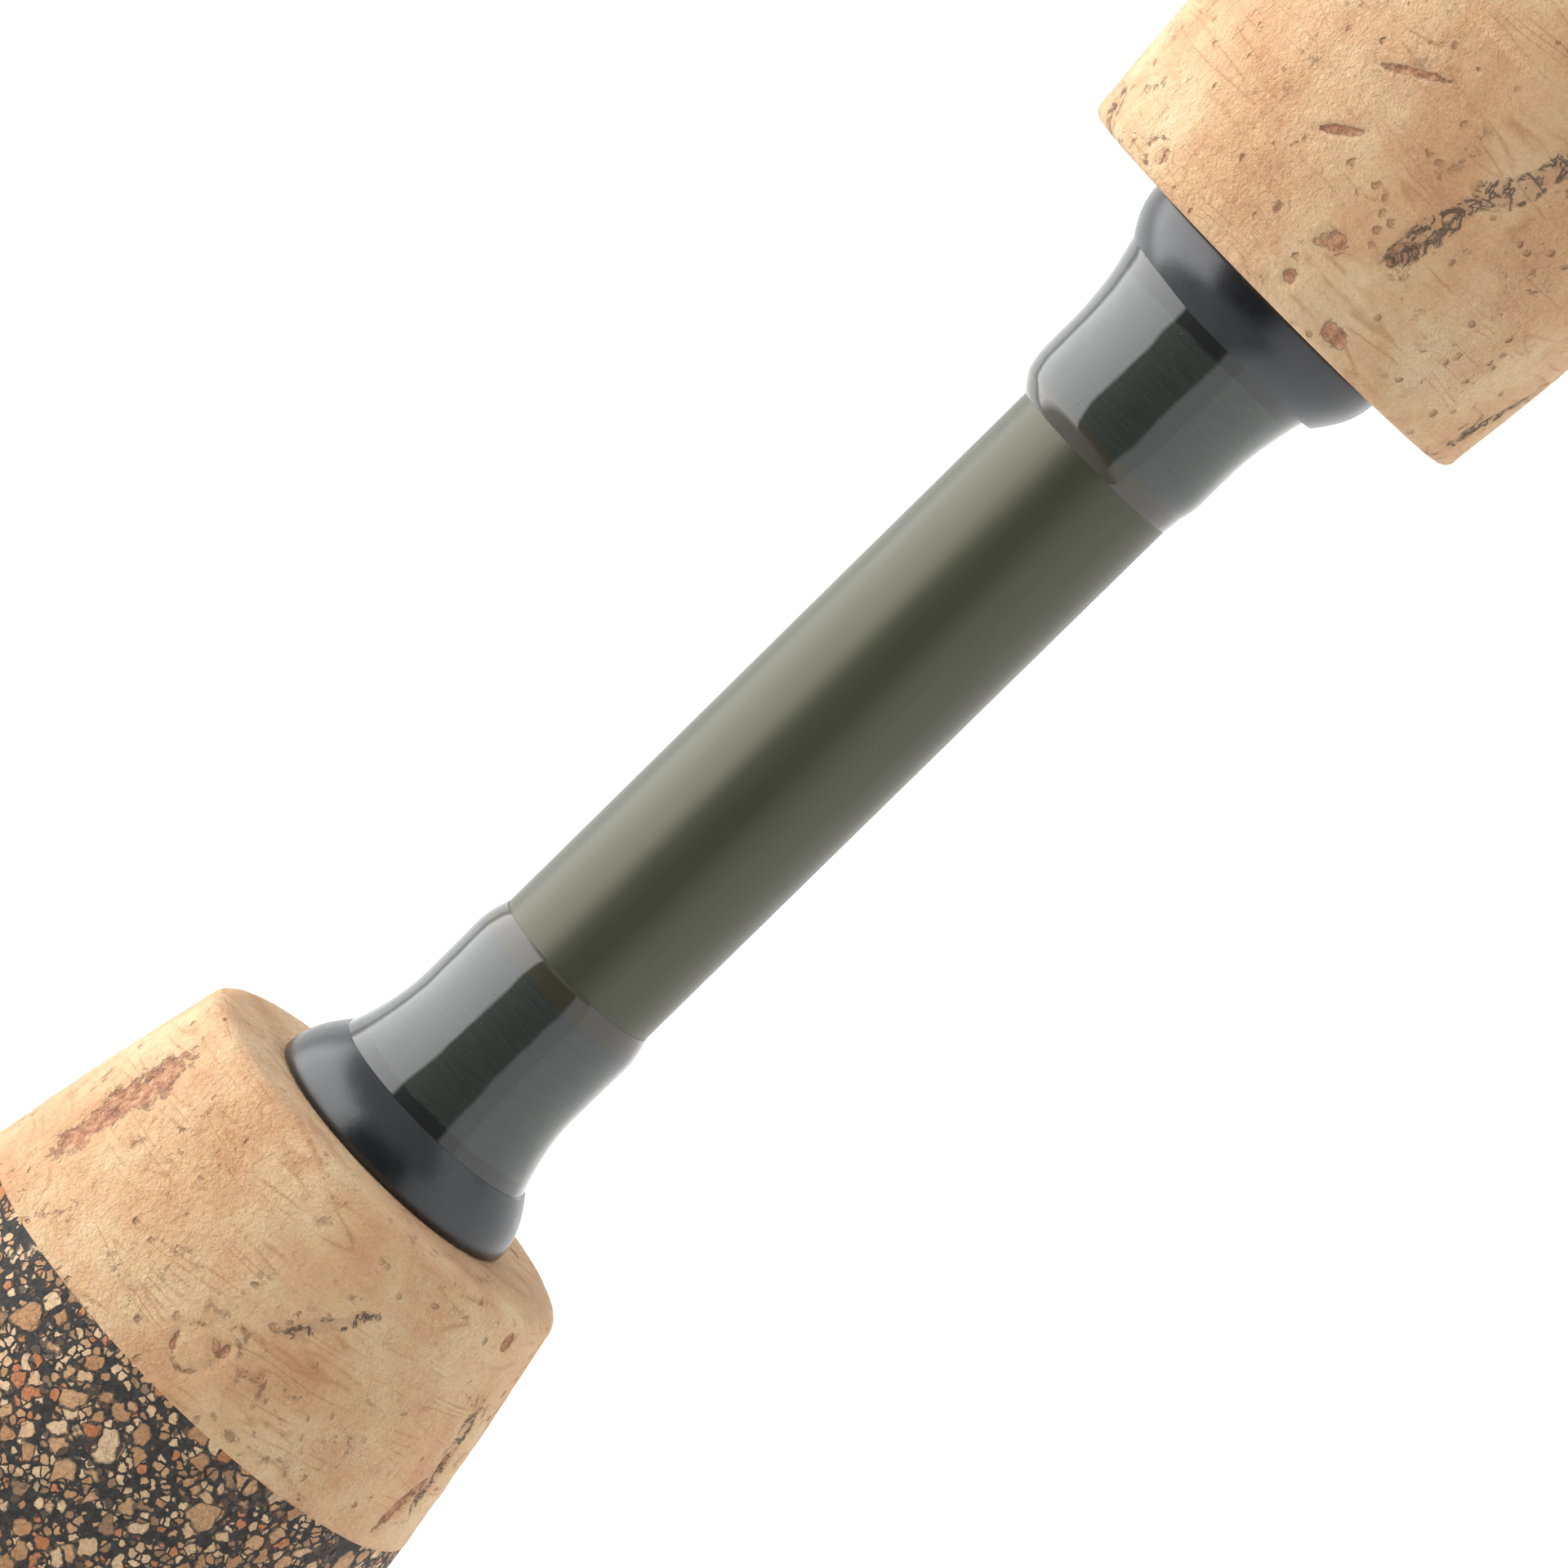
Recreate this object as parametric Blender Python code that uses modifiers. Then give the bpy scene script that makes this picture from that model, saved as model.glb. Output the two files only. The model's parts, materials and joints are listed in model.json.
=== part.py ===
"""Two-piece ultralight spinning rod with a split cork grip and a spinning reel in its seat.

The rod lies along +X with its butt at the origin, and the reel and the guides hang below it, at -Z.
Sizes are in millimetres until a mesh is made, and each sub-part has its own section.
"""

import math

import bmesh
import bpy
from mathutils import Matrix, Vector

MM = 0.001
GAP = 0.3  # between two pieces that touch on the real object
FIT = 0.1  # between thin pieces: a guide's foot, its blank and its thread
MERGE = 0.00001  # metres

FINE = 24  # sides of a grip or a spool
ROUND = 20
SMALL = 16
TINY = 12

X_AXIS = Vector((1, 0, 0))
Y_AXIS = Vector((0, 1, 0))
Z_AXIS = Vector((0, 0, 1))

# The rod's stations along X, butt to tip.
CAP_END = 8.0
RING = 12.7  # one cork ring
FRONT_RING = 11.6  # the butt grip's front ring, trimmed where it meets the burl
BURL_START = CAP_END + 2 * RING
BURL_END = BURL_START + 3 * RING - FRONT_RING
GRIP_END = BURL_END + FRONT_RING
CHECK_LENGTH = 2.5
GRIP_WRAP = 8.9
SEAT_WRAP = 7.8
EXPOSED_BLANK = 31.1  # bare blank between the split grip's two thread wraps
SEAT_CHECK_START = GRIP_END + CHECK_LENGTH + GRIP_WRAP + EXPOSED_BLANK + SEAT_WRAP
SEAT_CORK_START = SEAT_CHECK_START + CHECK_LENGTH
SEAT_START = SEAT_CORK_START + 3 * RING
SEAT_LENGTH = 104.5
FORE_START = SEAT_START + SEAT_LENGTH
FORE_BURL = 4.0
FORE_CORK = 32.0
FERRULE_X = 690.0
SOCKET_X = 655.0
TIP_X = 1372.0

# Radii of the rod.
BLANK_R = 4.16
BLANK_WALL = 1.0
FERRULE_R = 3.0
TIP_R = 0.9
SOCKET_R = 3.9
CAP_R = 13.2
GRIP_R_MAX = 14.5
GRIP_R_FACE = 10.2
GRIP_R_REAR = 13.6
SEAT_CORK_R_FACE = 10.55
HOOD_R = 12.3
BARREL_R = 8.7
THREAD_R = 8.4
PITCH = 1.5  # of the seat's thread

# The reel: its spool axis runs along X below the rod.
REEL_Z = -58.0
CRANK_X = 204.0
CRANK_Z = -66.0
GEAR_TEETH = 52
PINION_TEETH = 10
PIVOT_X = 258.0
BAIL_REST = math.radians(65)  # the closed bail's rise from the spool axis
KNOB_Z = -112.0


def fresh_collection(name):
    made = bpy.data.collections.new(name)
    bpy.context.scene.collection.children.link(made)
    return made


for leftover in list(bpy.data.objects):
    bpy.data.objects.remove(leftover, do_unlink=True)

PARTS = fresh_collection("spinning_rod_and_reel")
CUTTERS = fresh_collection("cutters")


def paint(name, colour, roughness, metallic=0.0):
    material = bpy.data.materials.new(name)
    material.use_nodes = True
    shader = material.node_tree.nodes["Principled BSDF"]
    shader.inputs["Base Color"].default_value = (*colour, 1.0)
    shader.inputs["Roughness"].default_value = roughness
    shader.inputs["Metallic"].default_value = metallic
    return material


CORK = paint("natural_cork", (0.66, 0.45, 0.26), 0.85)
BURL = paint("burl_cork", (0.16, 0.11, 0.07), 0.85)
RUBBER = paint("butt_rubber", (0.03, 0.03, 0.03), 0.8)
CHECK = paint("winding_check", (0.022, 0.025, 0.032), 0.45)
THREAD = paint("thread_under_epoxy", (0.10, 0.13, 0.11), 0.08)
BLANK = paint("graphite_blank", (0.11, 0.12, 0.085), 0.3)
SEAT = paint("seat_graphite", (0.03, 0.03, 0.032), 0.4)
TRIM = paint("brushed_trim", (0.5, 0.5, 0.52), 0.3, 1.0)
STEEL = paint("polished_steel", (0.7, 0.7, 0.72), 0.15, 1.0)
CERAMIC = paint("guide_ceramic", (0.03, 0.03, 0.035), 0.12)
REEL_BLACK = paint("reel_body_black", (0.025, 0.027, 0.03), 0.35)
ALLOY = paint("anodised_alloy", (0.33, 0.34, 0.36), 0.28, 1.0)
BRASS = paint("gear_brass", (0.68, 0.50, 0.22), 0.3, 1.0)


def claim(obj, name, material, home=None):
    """Names a piece, gives it its material and files it with the parts or the cutters."""
    obj.name = name
    obj.data.name = name
    if material is not None:
        obj.data.materials.clear()
        obj.data.materials.append(material)
    for owner in list(obj.users_collection):
        owner.objects.unlink(obj)
    (home or PARTS).objects.link(obj)
    if home is CUTTERS:
        obj.hide_render = True
        obj.display_type = "WIRE"
    return obj


def new_object(name, mesh, at, material, home=None):
    obj = bpy.data.objects.new(name, mesh)
    bpy.context.scene.collection.objects.link(obj)
    obj.location = Vector(at) * MM
    return claim(obj, name, material, home)


def turned(name, outer, material, bore=None, at=(0, 0, 0), toward=X_AXIS, steps=ROUND, home=None):
    """A turned piece: outer lists (distance along, radius), low end first.

    bore is None for a piece with no through hole, a radius for a straight hole, or its own list of points.
    """
    rim = [(radius, along) for along, radius in reversed(outer)]
    if bore is None:
        loop = [(0.0, rim[0][1])] + rim + [(0.0, rim[-1][1])]
    elif isinstance(bore, list):
        loop = rim + [(radius, along) for along, radius in bore]
    else:
        loop = rim + [(bore, rim[-1][1]), (bore, rim[0][1])]
    edges = [(i, i + 1) for i in range(len(loop) - 1)]
    if bore is not None:
        edges.append((len(loop) - 1, 0))
    mesh = bpy.data.meshes.new(name)
    mesh.from_pydata([(r * MM, 0.0, z * MM) for r, z in loop], edges, [])
    obj = new_object(name, mesh, at, material, home)
    obj.rotation_euler = Z_AXIS.rotation_difference(toward).to_euler()
    screw = obj.modifiers.new("turn", "SCREW")
    screw.axis = "Z"
    screw.steps = steps
    screw.render_steps = steps
    screw.use_merge_vertices = True
    screw.merge_threshold = MERGE
    screw.use_smooth_shade = True
    return obj


def ring(name, radius, bore, start, end, material, edge=0.4, at=(0, 0, 0), toward=X_AXIS, steps=ROUND):
    """A plain ring or, with no bore, a disc, both with broken outer edges."""
    outer = [(start, radius - edge), (start + edge, radius), (end - edge, radius), (end, radius - edge)]
    return turned(name, outer, material, bore, at, toward, steps)


def block(name, low, high, material, bevel=0.0, home=None, origin=None):
    """A box between two corners, with its origin at its middle or at a given point."""
    low, high = Vector(low), Vector(high)
    middle = Vector(origin) if origin is not None else (low + high) / 2
    grid = bmesh.new()
    bmesh.ops.create_cube(grid, size=1.0)
    bmesh.ops.scale(grid, vec=(high - low) * MM, verts=grid.verts)
    bmesh.ops.translate(grid, vec=((low + high) / 2 - middle) * MM, verts=grid.verts)
    mesh = bpy.data.meshes.new(name)
    grid.to_mesh(mesh)
    grid.free()
    obj = new_object(name, mesh, middle, material, home)
    if bevel:
        rounding = obj.modifiers.new("edges", "BEVEL")
        rounding.width = bevel * MM
        rounding.segments = 1
    return obj


PLANES = {
    "XZ": Matrix.Rotation(math.pi / 2, 4, "X"),
    "YZ": Matrix(((0, 0, 1, 0), (1, 0, 0, 0), (0, 1, 0, 0), (0, 0, 0, 1))),
}


def to_mesh_object(curve_obj, name, material, home):
    """Makes a curve object a welded mesh object at the same place."""
    bpy.context.view_layer.update()
    seen = curve_obj.evaluated_get(bpy.context.evaluated_depsgraph_get())
    mesh = bpy.data.meshes.new_from_object(seen)
    grid = bmesh.new()
    grid.from_mesh(mesh)
    bmesh.ops.remove_doubles(grid, verts=grid.verts, dist=MERGE)
    bmesh.ops.recalc_face_normals(grid, faces=grid.faces)
    grid.to_mesh(mesh)
    grid.free()
    obj = bpy.data.objects.new(name, mesh)
    bpy.context.scene.collection.objects.link(obj)
    obj.matrix_world = curve_obj.matrix_world
    bpy.data.objects.remove(curve_obj, do_unlink=True)
    return claim(obj, name, material, home)


def slab(name, outlines, thickness, material, plane="XZ", at=(0, 0, 0), home=None):
    """A flat outline, with its holes, given a thickness centred on its plane."""
    curve = bpy.data.curves.new(name, "CURVE")
    curve.dimensions = "2D"
    curve.fill_mode = "BOTH"
    curve.extrude = thickness * MM / 2
    for outline in outlines:
        spline = curve.splines.new("POLY")
        spline.points.add(len(outline) - 1)
        spline.use_cyclic_u = True
        for point, (u, v) in zip(spline.points, outline):
            point.co = (u * MM, v * MM, 0.0, 1.0)
    drawn = bpy.data.objects.new(name, curve)
    bpy.context.scene.collection.objects.link(drawn)
    obj = to_mesh_object(drawn, name, material, home)
    obj.data.transform(PLANES[plane])
    obj.location = Vector(at) * MM
    return obj


def wire(name, points, radius, material, at=(0, 0, 0), home=None):
    """A round wire along a list of points."""
    curve = bpy.data.curves.new(name, "CURVE")
    curve.dimensions = "3D"
    curve.bevel_depth = radius * MM
    curve.bevel_resolution = 2
    curve.use_fill_caps = True
    spline = curve.splines.new("POLY")
    spline.points.add(len(points) - 1)
    for point, place in zip(spline.points, points):
        point.co = (*(Vector(place) * MM), 1.0)
    drawn = bpy.data.objects.new(name, curve)
    bpy.context.scene.collection.objects.link(drawn)
    drawn.location = Vector(at) * MM
    return to_mesh_object(drawn, name, material, home)


def boolean(target, other, operation):
    step = target.modifiers.new(operation.lower(), "BOOLEAN")
    step.operation = operation
    step.solver = "EXACT"
    step.object = other
    return target


def cut(target, cutter):
    return boolean(target, claim(cutter, cutter.name, None, CUTTERS), "DIFFERENCE")


def join(target, other):
    return boolean(target, claim(other, other.name, None, CUTTERS), "UNION")


def arc(centre, radius, start_deg, end_deg, count):
    """Points of a circle's arc, in the plane's own two axes."""
    turn = [math.radians(start_deg + (end_deg - start_deg) * i / (count - 1)) for i in range(count)]
    return [(centre[0] + radius * math.cos(a), centre[1] + radius * math.sin(a)) for a in turn]


def blank_radius(x):
    """The blank is straight through the handle, then tapers to the ferrule and on to the tip."""
    taper_start = FORE_START + FORE_BURL + FORE_CORK
    if x <= taper_start:
        return BLANK_R
    if x <= FERRULE_X:
        return BLANK_R + (FERRULE_R - BLANK_R) * (x - taper_start) / (FERRULE_X - taper_start)
    return FERRULE_R + (TIP_R - FERRULE_R) * (x - FERRULE_X) / (TIP_X - FERRULE_X)


def flare(distance, length, face_r, far_r, power):
    """Radius of a grip that flares away from its face, quickly at first."""
    return far_r - (far_r - face_r) * (1 - distance / length) ** power


def butt_grip_radius(x):
    """The butt grip swells for three rings behind its face, then narrows to the butt cap."""
    behind = GRIP_END - x
    if behind <= 3 * RING:
        return flare(behind, 3 * RING, GRIP_R_FACE, GRIP_R_MAX, 2.1)
    return GRIP_R_MAX - (GRIP_R_MAX - GRIP_R_REAR) * ((behind - 3 * RING) / (2 * RING)) ** 2


def stations(start, end, count):
    return [start + (end - start) * i / (count - 1) for i in range(count)]


# ---- Butt grip: rubber cap, natural cork, burl band, natural cork ring ----

def grip_piece(name, start, end, material, count, edge=0.0):
    """A stretch of the butt grip bored for the blank, with its front edge rounded off."""
    along = stations(start + GAP / 2, end - GAP / 2 - edge, count)
    outer = [(x, butt_grip_radius(x)) for x in along]
    if edge:
        outer.append((end - GAP / 2, butt_grip_radius(end) - edge))
    return turned(name, outer, material, BLANK_R + GAP, steps=FINE)


CAP_FLOOR = 2.5
cap_face = CAP_END - GAP / 2
turned("butt_cap", [(0.0, CAP_R - 1.6), (1.6, CAP_R), (cap_face, GRIP_R_REAR), (cap_face, BLANK_R + GAP),
                    (CAP_FLOOR, BLANK_R + GAP)], RUBBER, steps=FINE)
grip_piece("rear_cork", CAP_END, BURL_START, CORK, 4)
grip_piece("burl_cork", BURL_START, BURL_END, BURL, 5)
grip_piece("front_cork", BURL_END, GRIP_END, CORK, 4, edge=0.5)


# ---- Winding checks and thread wraps on the bare blank ----

CHECK_R = 6.5
CHECK_NECK_R = 5.35
WRAP_THICK_R = 5.25
WRAP_R = 4.7


def winding_check(name, base, forward):
    """A bell-shaped trim ring whose base meets the cork; forward is +1 or -1 along X."""
    outer = [(GAP, CHECK_R - 0.25), (GAP + 0.25, CHECK_R), (0.8, CHECK_R - 0.05), (1.5, CHECK_R - 0.4),
             (2.0, CHECK_R - 0.75), (CHECK_LENGTH, CHECK_NECK_R)]
    return turned(name, outer, CHECK, BLANK_R + GAP, at=(base, 0, 0), toward=X_AXIS * forward, steps=FINE)


def thread_wrap(name, thick_end, forward, length):
    """Thread under epoxy, thickest against the check and thin at its free end."""
    outer = [(GAP, WRAP_THICK_R), (1.5, WRAP_THICK_R - 0.3), (3.5, WRAP_R + 0.1), (length - 0.8, WRAP_R),
             (length, BLANK_R + 0.22)]
    return turned(name, outer, THREAD, BLANK_R + FIT, at=(thick_end, 0, 0), toward=X_AXIS * forward,
                  steps=FINE)


winding_check("grip_check", GRIP_END, 1)
thread_wrap("grip_wrap", GRIP_END + CHECK_LENGTH, 1, GRIP_WRAP)
winding_check("seat_check", SEAT_CORK_START, -1)
thread_wrap("seat_wrap", SEAT_CHECK_START, -1, SEAT_WRAP)

blank_stations = [CAP_FLOOR + GAP, FORE_START + FORE_BURL + FORE_CORK, FERRULE_X]
turned("butt_blank", [(x, blank_radius(x)) for x in blank_stations], BLANK,
       [(x, blank_radius(x) - BLANK_WALL) for x in blank_stations], steps=ROUND)


# ---- Cork behind the seat, reel seat, its hoods, lock nut and fore grip ----

def seat_cork_radius(x):
    return flare(x - SEAT_CORK_START, 3 * RING, SEAT_CORK_R_FACE, HOOD_R, 2.25)


cork_face = (SEAT_CORK_START + GAP / 2, SEAT_CORK_R_FACE - 1.2)
cork_sides = [(x, seat_cork_radius(x)) for x in stations(SEAT_CORK_START + 0.6, SEAT_START - GAP / 2, 5)]
turned("seat_cork", [cork_face] + cork_sides, CORK, BLANK_R + GAP, steps=FINE)

HOOD_LENGTH = 21.0
SLIDER_START = SEAT_START + 70.0
SLIDER_LENGTH = 14.0
NUT_LENGTH = 12.0
NUT_TRAVEL = 6.0
FOOT_TOP = -(BARREL_R + GAP)
FOOT_THICK = 2.6
FOOT_HALF_WIDTH = 5.5
POCKET_DEPTH = 9.0
NUT_START = SLIDER_START + SLIDER_LENGTH + GAP
THREAD_START = NUT_START + 1.0

barrel_outer = [(SEAT_START + GAP / 2, BARREL_R), (THREAD_START - 3, BARREL_R), (THREAD_START - 2, THREAD_R)]
thread_x = THREAD_START
while thread_x < FORE_START - 1.0:
    barrel_outer += [(thread_x, THREAD_R - 0.5), (thread_x + PITCH / 2, THREAD_R)]
    thread_x += 2 * PITCH
barrel_outer.append((FORE_START - GAP / 2, THREAD_R - 0.5))
ARBOR_R = 6.4
turned("seat_barrel", barrel_outer, SEAT, ARBOR_R + GAP, steps=ROUND)
ring("seat_arbor", ARBOR_R, BLANK_R + GAP, SEAT_START + GAP, FORE_START - GAP, SEAT, steps=SMALL)


def hood(name, outer, bore, at_x, pocket_start, pocket_end):
    """A turned hood with a pocket under the barrel for one end of the reel's foot."""
    made = turned(name, outer, TRIM, bore, at=(at_x, 0, 0), steps=FINE)
    low = (pocket_start, -FOOT_HALF_WIDTH - 0.6, FOOT_TOP - FOOT_THICK - 0.4)
    high = (pocket_end, FOOT_HALF_WIDTH + 0.6, -BARREL_R + 1.2)
    return cut(made, block(name + "_pocket", low, high, None, home=CUTTERS))


fixed_outer = [(GAP / 2, HOOD_R), (4.0, HOOD_R + 0.3), (12.0, HOOD_R + 2.2), (HOOD_LENGTH, HOOD_R + 2.4)]
hood("fixed_hood", fixed_outer, BARREL_R + GAP, SEAT_START,
     SEAT_START + HOOD_LENGTH - POCKET_DEPTH, SEAT_START + HOOD_LENGTH + 1)
slider_outer = [(0.0, HOOD_R + 2.0), (2.0, HOOD_R + 2.2), (9.0, HOOD_R + 1.8), (SLIDER_LENGTH, HOOD_R)]
hood("sliding_hood", slider_outer, BARREL_R + GAP, SLIDER_START,
     SLIDER_START - 1, SLIDER_START + POCKET_DEPTH)


FLUTES = 20
FLUTE_DEPTH = 0.5
nut_rim = []
for i in range(FLUTES * 2):
    flute_angle = math.pi * i / FLUTES
    flute_r = HOOD_R - FLUTE_DEPTH * (i % 2)
    nut_rim.append((flute_r * math.cos(flute_angle), flute_r * math.sin(flute_angle)))
nut_bore = arc((0, 0), THREAD_R + 0.5, 0, 360 * (ROUND - 1) / ROUND, ROUND)
slab("lock_nut", [nut_rim, nut_bore], NUT_LENGTH, TRIM, "YZ", at=(NUT_START + NUT_LENGTH / 2, 0, 0))


def fore_radius(x):
    """The fore grip tapers from the seat to its winding check in a shallow curve."""
    share = (x - FORE_START) / (FORE_BURL + FORE_CORK)
    return 11.0 - 3.2 * share ** 1.4


fore_burl_end = FORE_START + FORE_BURL
fore_end = fore_burl_end + FORE_CORK
burl_sides = [(x, fore_radius(x)) for x in stations(FORE_START + GAP / 2, fore_burl_end - GAP / 2, 3)]
turned("fore_burl", burl_sides, BURL, BLANK_R + GAP, steps=FINE)
cork_sides = [(x, fore_radius(x)) for x in stations(fore_burl_end + GAP / 2, fore_end - 1.5, 5)]
turned("fore_cork", cork_sides + [(fore_end, fore_radius(fore_end) - 1.0)], CORK, BLANK_R + GAP, steps=FINE)
winding_check("fore_check", fore_end, 1)


# ---- Hook keeper ----
KEEPER_X = fore_end + 9.0
KEEPER_LENGTH = 12.0
KEEPER_WIRE = 0.45
keeper_foot_z = -(BLANK_R + FIT + KEEPER_WIRE)
keeper_points = [(KEEPER_X - 5.0, 0, keeper_foot_z), (KEEPER_X, 0, keeper_foot_z)]
for along, down in arc((0, 0), 1.0, 180, 0, 7):
    keeper_points.append((KEEPER_X + 2.5 + 2.5 * along, 0, keeper_foot_z - 2.8 * down))
keeper_points.append((KEEPER_X + 10.0, 0, keeper_foot_z))
wire("hook_keeper", keeper_points, KEEPER_WIRE, STEEL)


def foot_wrap(name, start, end, height, width):
    """Thread under epoxy that binds a foot of the given section to the blank."""
    inner_r = math.hypot(blank_radius(start) + FIT + height, width / 2) + FIT
    outer_r = inner_r + 0.35
    bore = [(start, inner_r), (end, inner_r)]
    outer = [(start, outer_r - 0.25), (start + 1.0, outer_r), (end - 1.0, outer_r), (end, outer_r - 0.25)]
    return turned(name, outer, THREAD, bore, steps=SMALL)


foot_wrap("keeper_wrap", KEEPER_X + 5.9, KEEPER_X + 11.0, 2 * KEEPER_WIRE, KEEPER_WIRE)


# ---- Guides ----
FOOT = 0.6  # thickness of a guide's foot
STRUT = 1.5  # width of a guide's foot and strut


def guide(name, x, ring_r, hole_r, feet, foot_length=11.0):
    """A ceramic ring in a metal frame that stands on one or two feet below the blank."""
    surface = blank_radius(x)
    frame_r = ring_r + 0.9
    centre_z = -(surface + 1.5 + frame_r + 0.35 * ring_r)
    frame = turned(name + "_frame", [(-0.8, frame_r), (0.8, frame_r)], STEEL, ring_r + FIT,
                   at=(x, 0, centre_z), steps=ROUND)
    foot_bottom = -(surface + FIT + FOOT)
    top = centre_z + frame_r - 0.4
    rise = foot_bottom - top
    for side in feet:
        reach = rise + 5.0
        outline = [(x, top), (x + side * 1.2, top), (x + side * (reach + 1.0), foot_bottom),
                   (x + side * (reach + foot_length), foot_bottom + 0.3),
                   (x + side * (reach + foot_length), -(blank_radius(x + side * reach) + FIT)),
                   (x + side * reach, -(blank_radius(x + side * reach) + FIT)), (x, top + 0.9)]
        join(frame, slab(name + "_foot", [outline], STRUT, None, "XZ", home=CUTTERS))
    ring(name + "_ring", ring_r, hole_r, -0.7, 0.7, CERAMIC, 0.3, at=(x, 0, centre_z))
    for number, side in enumerate(feet):
        near = x + side * (rise + 6.6)
        far = near + side * (foot_length - 1.0)
        suffix = "_wrap" if len(feet) == 1 else "_wrap_" + ("front" if side > 0 else "rear")
        foot_wrap(name + suffix, min(near, far), max(near, far), FOOT, STRUT)


STRIPPER_X = 590.0
guide("stripper_guide", STRIPPER_X, 10.0, 7.6, (-1, 1))
GUIDES = [("middle_guide", 800.0, 6.4, 4.6), ("fore_guide", 1000.0, 4.6, 3.2), ("end_guide", 1190.0, 3.6, 2.3)]
for guide_name, guide_x, guide_ring, guide_hole in GUIDES:
    guide(guide_name, guide_x, guide_ring, guide_hole, (1,))


# ---- Tip section: its socket slides over the end of the butt section ----
SOCKET_CLEARANCE = 0.08


def socket_bore(x):
    return blank_radius(x) + SOCKET_CLEARANCE


tip_end = TIP_X - 14.0
tip_outer = [(SOCKET_X, SOCKET_R), (FERRULE_X, SOCKET_R - 0.2), (FERRULE_X + 35, blank_radius(FERRULE_X + 35)),
             (tip_end, blank_radius(tip_end))]
tip_bore = [(SOCKET_X, socket_bore(SOCKET_X)), (FERRULE_X + 4, FERRULE_R + SOCKET_CLEARANCE),
            (FERRULE_X + 35, blank_radius(FERRULE_X + 35) - 0.8), (tip_end, blank_radius(tip_end) - 0.5)]
turned("tip_blank", tip_outer, BLANK, tip_bore, steps=ROUND)
ferrule_bore = SOCKET_R + FIT
turned("ferrule_wrap", [(SOCKET_X, ferrule_bore + 0.3), (SOCKET_X + 1, ferrule_bore + 0.55),
                        (SOCKET_X + 12, ferrule_bore + 0.55), (SOCKET_X + 13, ferrule_bore + 0.3)],
       THREAD, ferrule_bore, steps=ROUND)

TIP_RING_R = 3.0
TIP_HOLE_R = 1.9
TIP_RING_X = TIP_X - 1.0
tip_tube_r = blank_radius(tip_end) + FIT
tip_ring_z = -(tip_tube_r + 0.6 + TIP_RING_R)
tube_outer = [(tip_end + GAP, tip_tube_r), (tip_end - 8, tip_tube_r), (tip_end - 8, tip_tube_r + 0.5),
              (TIP_X - 3, tip_tube_r + 0.5)]
tip_top = turned("tip_top_frame", tube_outer, STEEL, steps=SMALL)
tip_band = turned("tip_top_band", [(-0.8, TIP_RING_R + 0.8), (1.0, TIP_RING_R + 0.8)], None,
                  TIP_RING_R + FIT, at=(TIP_RING_X, 0, tip_ring_z), steps=ROUND, home=CUTTERS)
join(tip_top, tip_band)
strut_outline = [(TIP_X - 9, 0.6), (TIP_X - 1.2, -0.4), (TIP_X - 0.6, tip_ring_z + TIP_RING_R + 0.4),
                 (TIP_X - 1.6, tip_ring_z + TIP_RING_R + 0.4), (TIP_X - 9, -1.2)]
join(tip_top, slab("tip_top_strut", [strut_outline], 1.4, None, "XZ", home=CUTTERS))
ring("tip_top_ring", TIP_RING_R, TIP_HOLE_R, -0.6, 0.8, CERAMIC, 0.3, at=(TIP_RING_X, 0, tip_ring_z),
     steps=SMALL)


# ---- Reel: cast body with its stem and foot, side cover and rear cap ----
CASE_R = 20.5
CASE_WALL = 2.0
CASE_RIGHT = -12.0
CASE_LEFT = 9.0
COVER_FACE = 12.7
NECK_R = 18.5
NECK_END = 229.0
BEARING_R = 7.0
BEARING_X = 222.0
BEARING_LENGTH = 5.0
SHANK_R = 3.6
SHAFT_R = 2.0
SLEEVE_R = 3.6
FOOT_REAR = SEAT_START + HOOD_LENGTH - POCKET_DEPTH + 0.8
FOOT_FRONT = SLIDER_START + NUT_TRAVEL - 1.2
ABOUT_CRANK = (CRANK_X, 0, CRANK_Z)
ABOUT_SPOOL = (0, 0, REEL_Z)
LEVER_HOLE = 1.9
SCREW_R = 0.7
SCREW_CIRCLE = 17.2


def on_crank(radius, start, end, name="bore", steps=SMALL):
    """A plain cylinder about the crank's axis between two stations along Y."""
    return turned(name, [(start, radius), (end, radius)], None, None, at=ABOUT_CRANK, toward=Y_AXIS,
                  steps=steps, home=CUTTERS)


def on_spool(radius, start, end, name="bore", steps=SMALL):
    """A plain cylinder about the spool's axis between two stations along X."""
    return turned(name, [(start, radius), (end, radius)], None, None, at=ABOUT_SPOOL, steps=steps,
                  home=CUTTERS)


reel_body = turned("reel_body", [(CASE_RIGHT, CASE_R - 2.0), (CASE_RIGHT + 2.0, CASE_R), (CASE_LEFT + 1.0, CASE_R)],
                   REEL_BLACK, at=ABOUT_CRANK, toward=Y_AXIS, steps=FINE)
neck = turned("neck", [(211.0, NECK_R - 2.0), (216.0, NECK_R), (NECK_END, NECK_R)], None, None,
              at=ABOUT_SPOOL, steps=FINE, home=CUTTERS)
join(reel_body, neck)
stem = [(191, -50), (196, -41), (198, -26), (196, -17), (190, FOOT_TOP - 1.2), (222, FOOT_TOP - 1.2),
        (216, -17), (213, -26), (214, -38), (221, -47), (214, -54)]
join(reel_body, slab("stem", [stem], 9.0, None, "XZ", home=CUTTERS))
foot_bottom_z = FOOT_TOP - FOOT_THICK
foot = [(FOOT_REAR, FOOT_TOP), (FOOT_FRONT, FOOT_TOP), (FOOT_FRONT, FOOT_TOP - 1.4),
        (FOOT_FRONT - 9, foot_bottom_z), (FOOT_REAR + 9, foot_bottom_z), (FOOT_REAR, FOOT_TOP - 1.4)]
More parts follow.
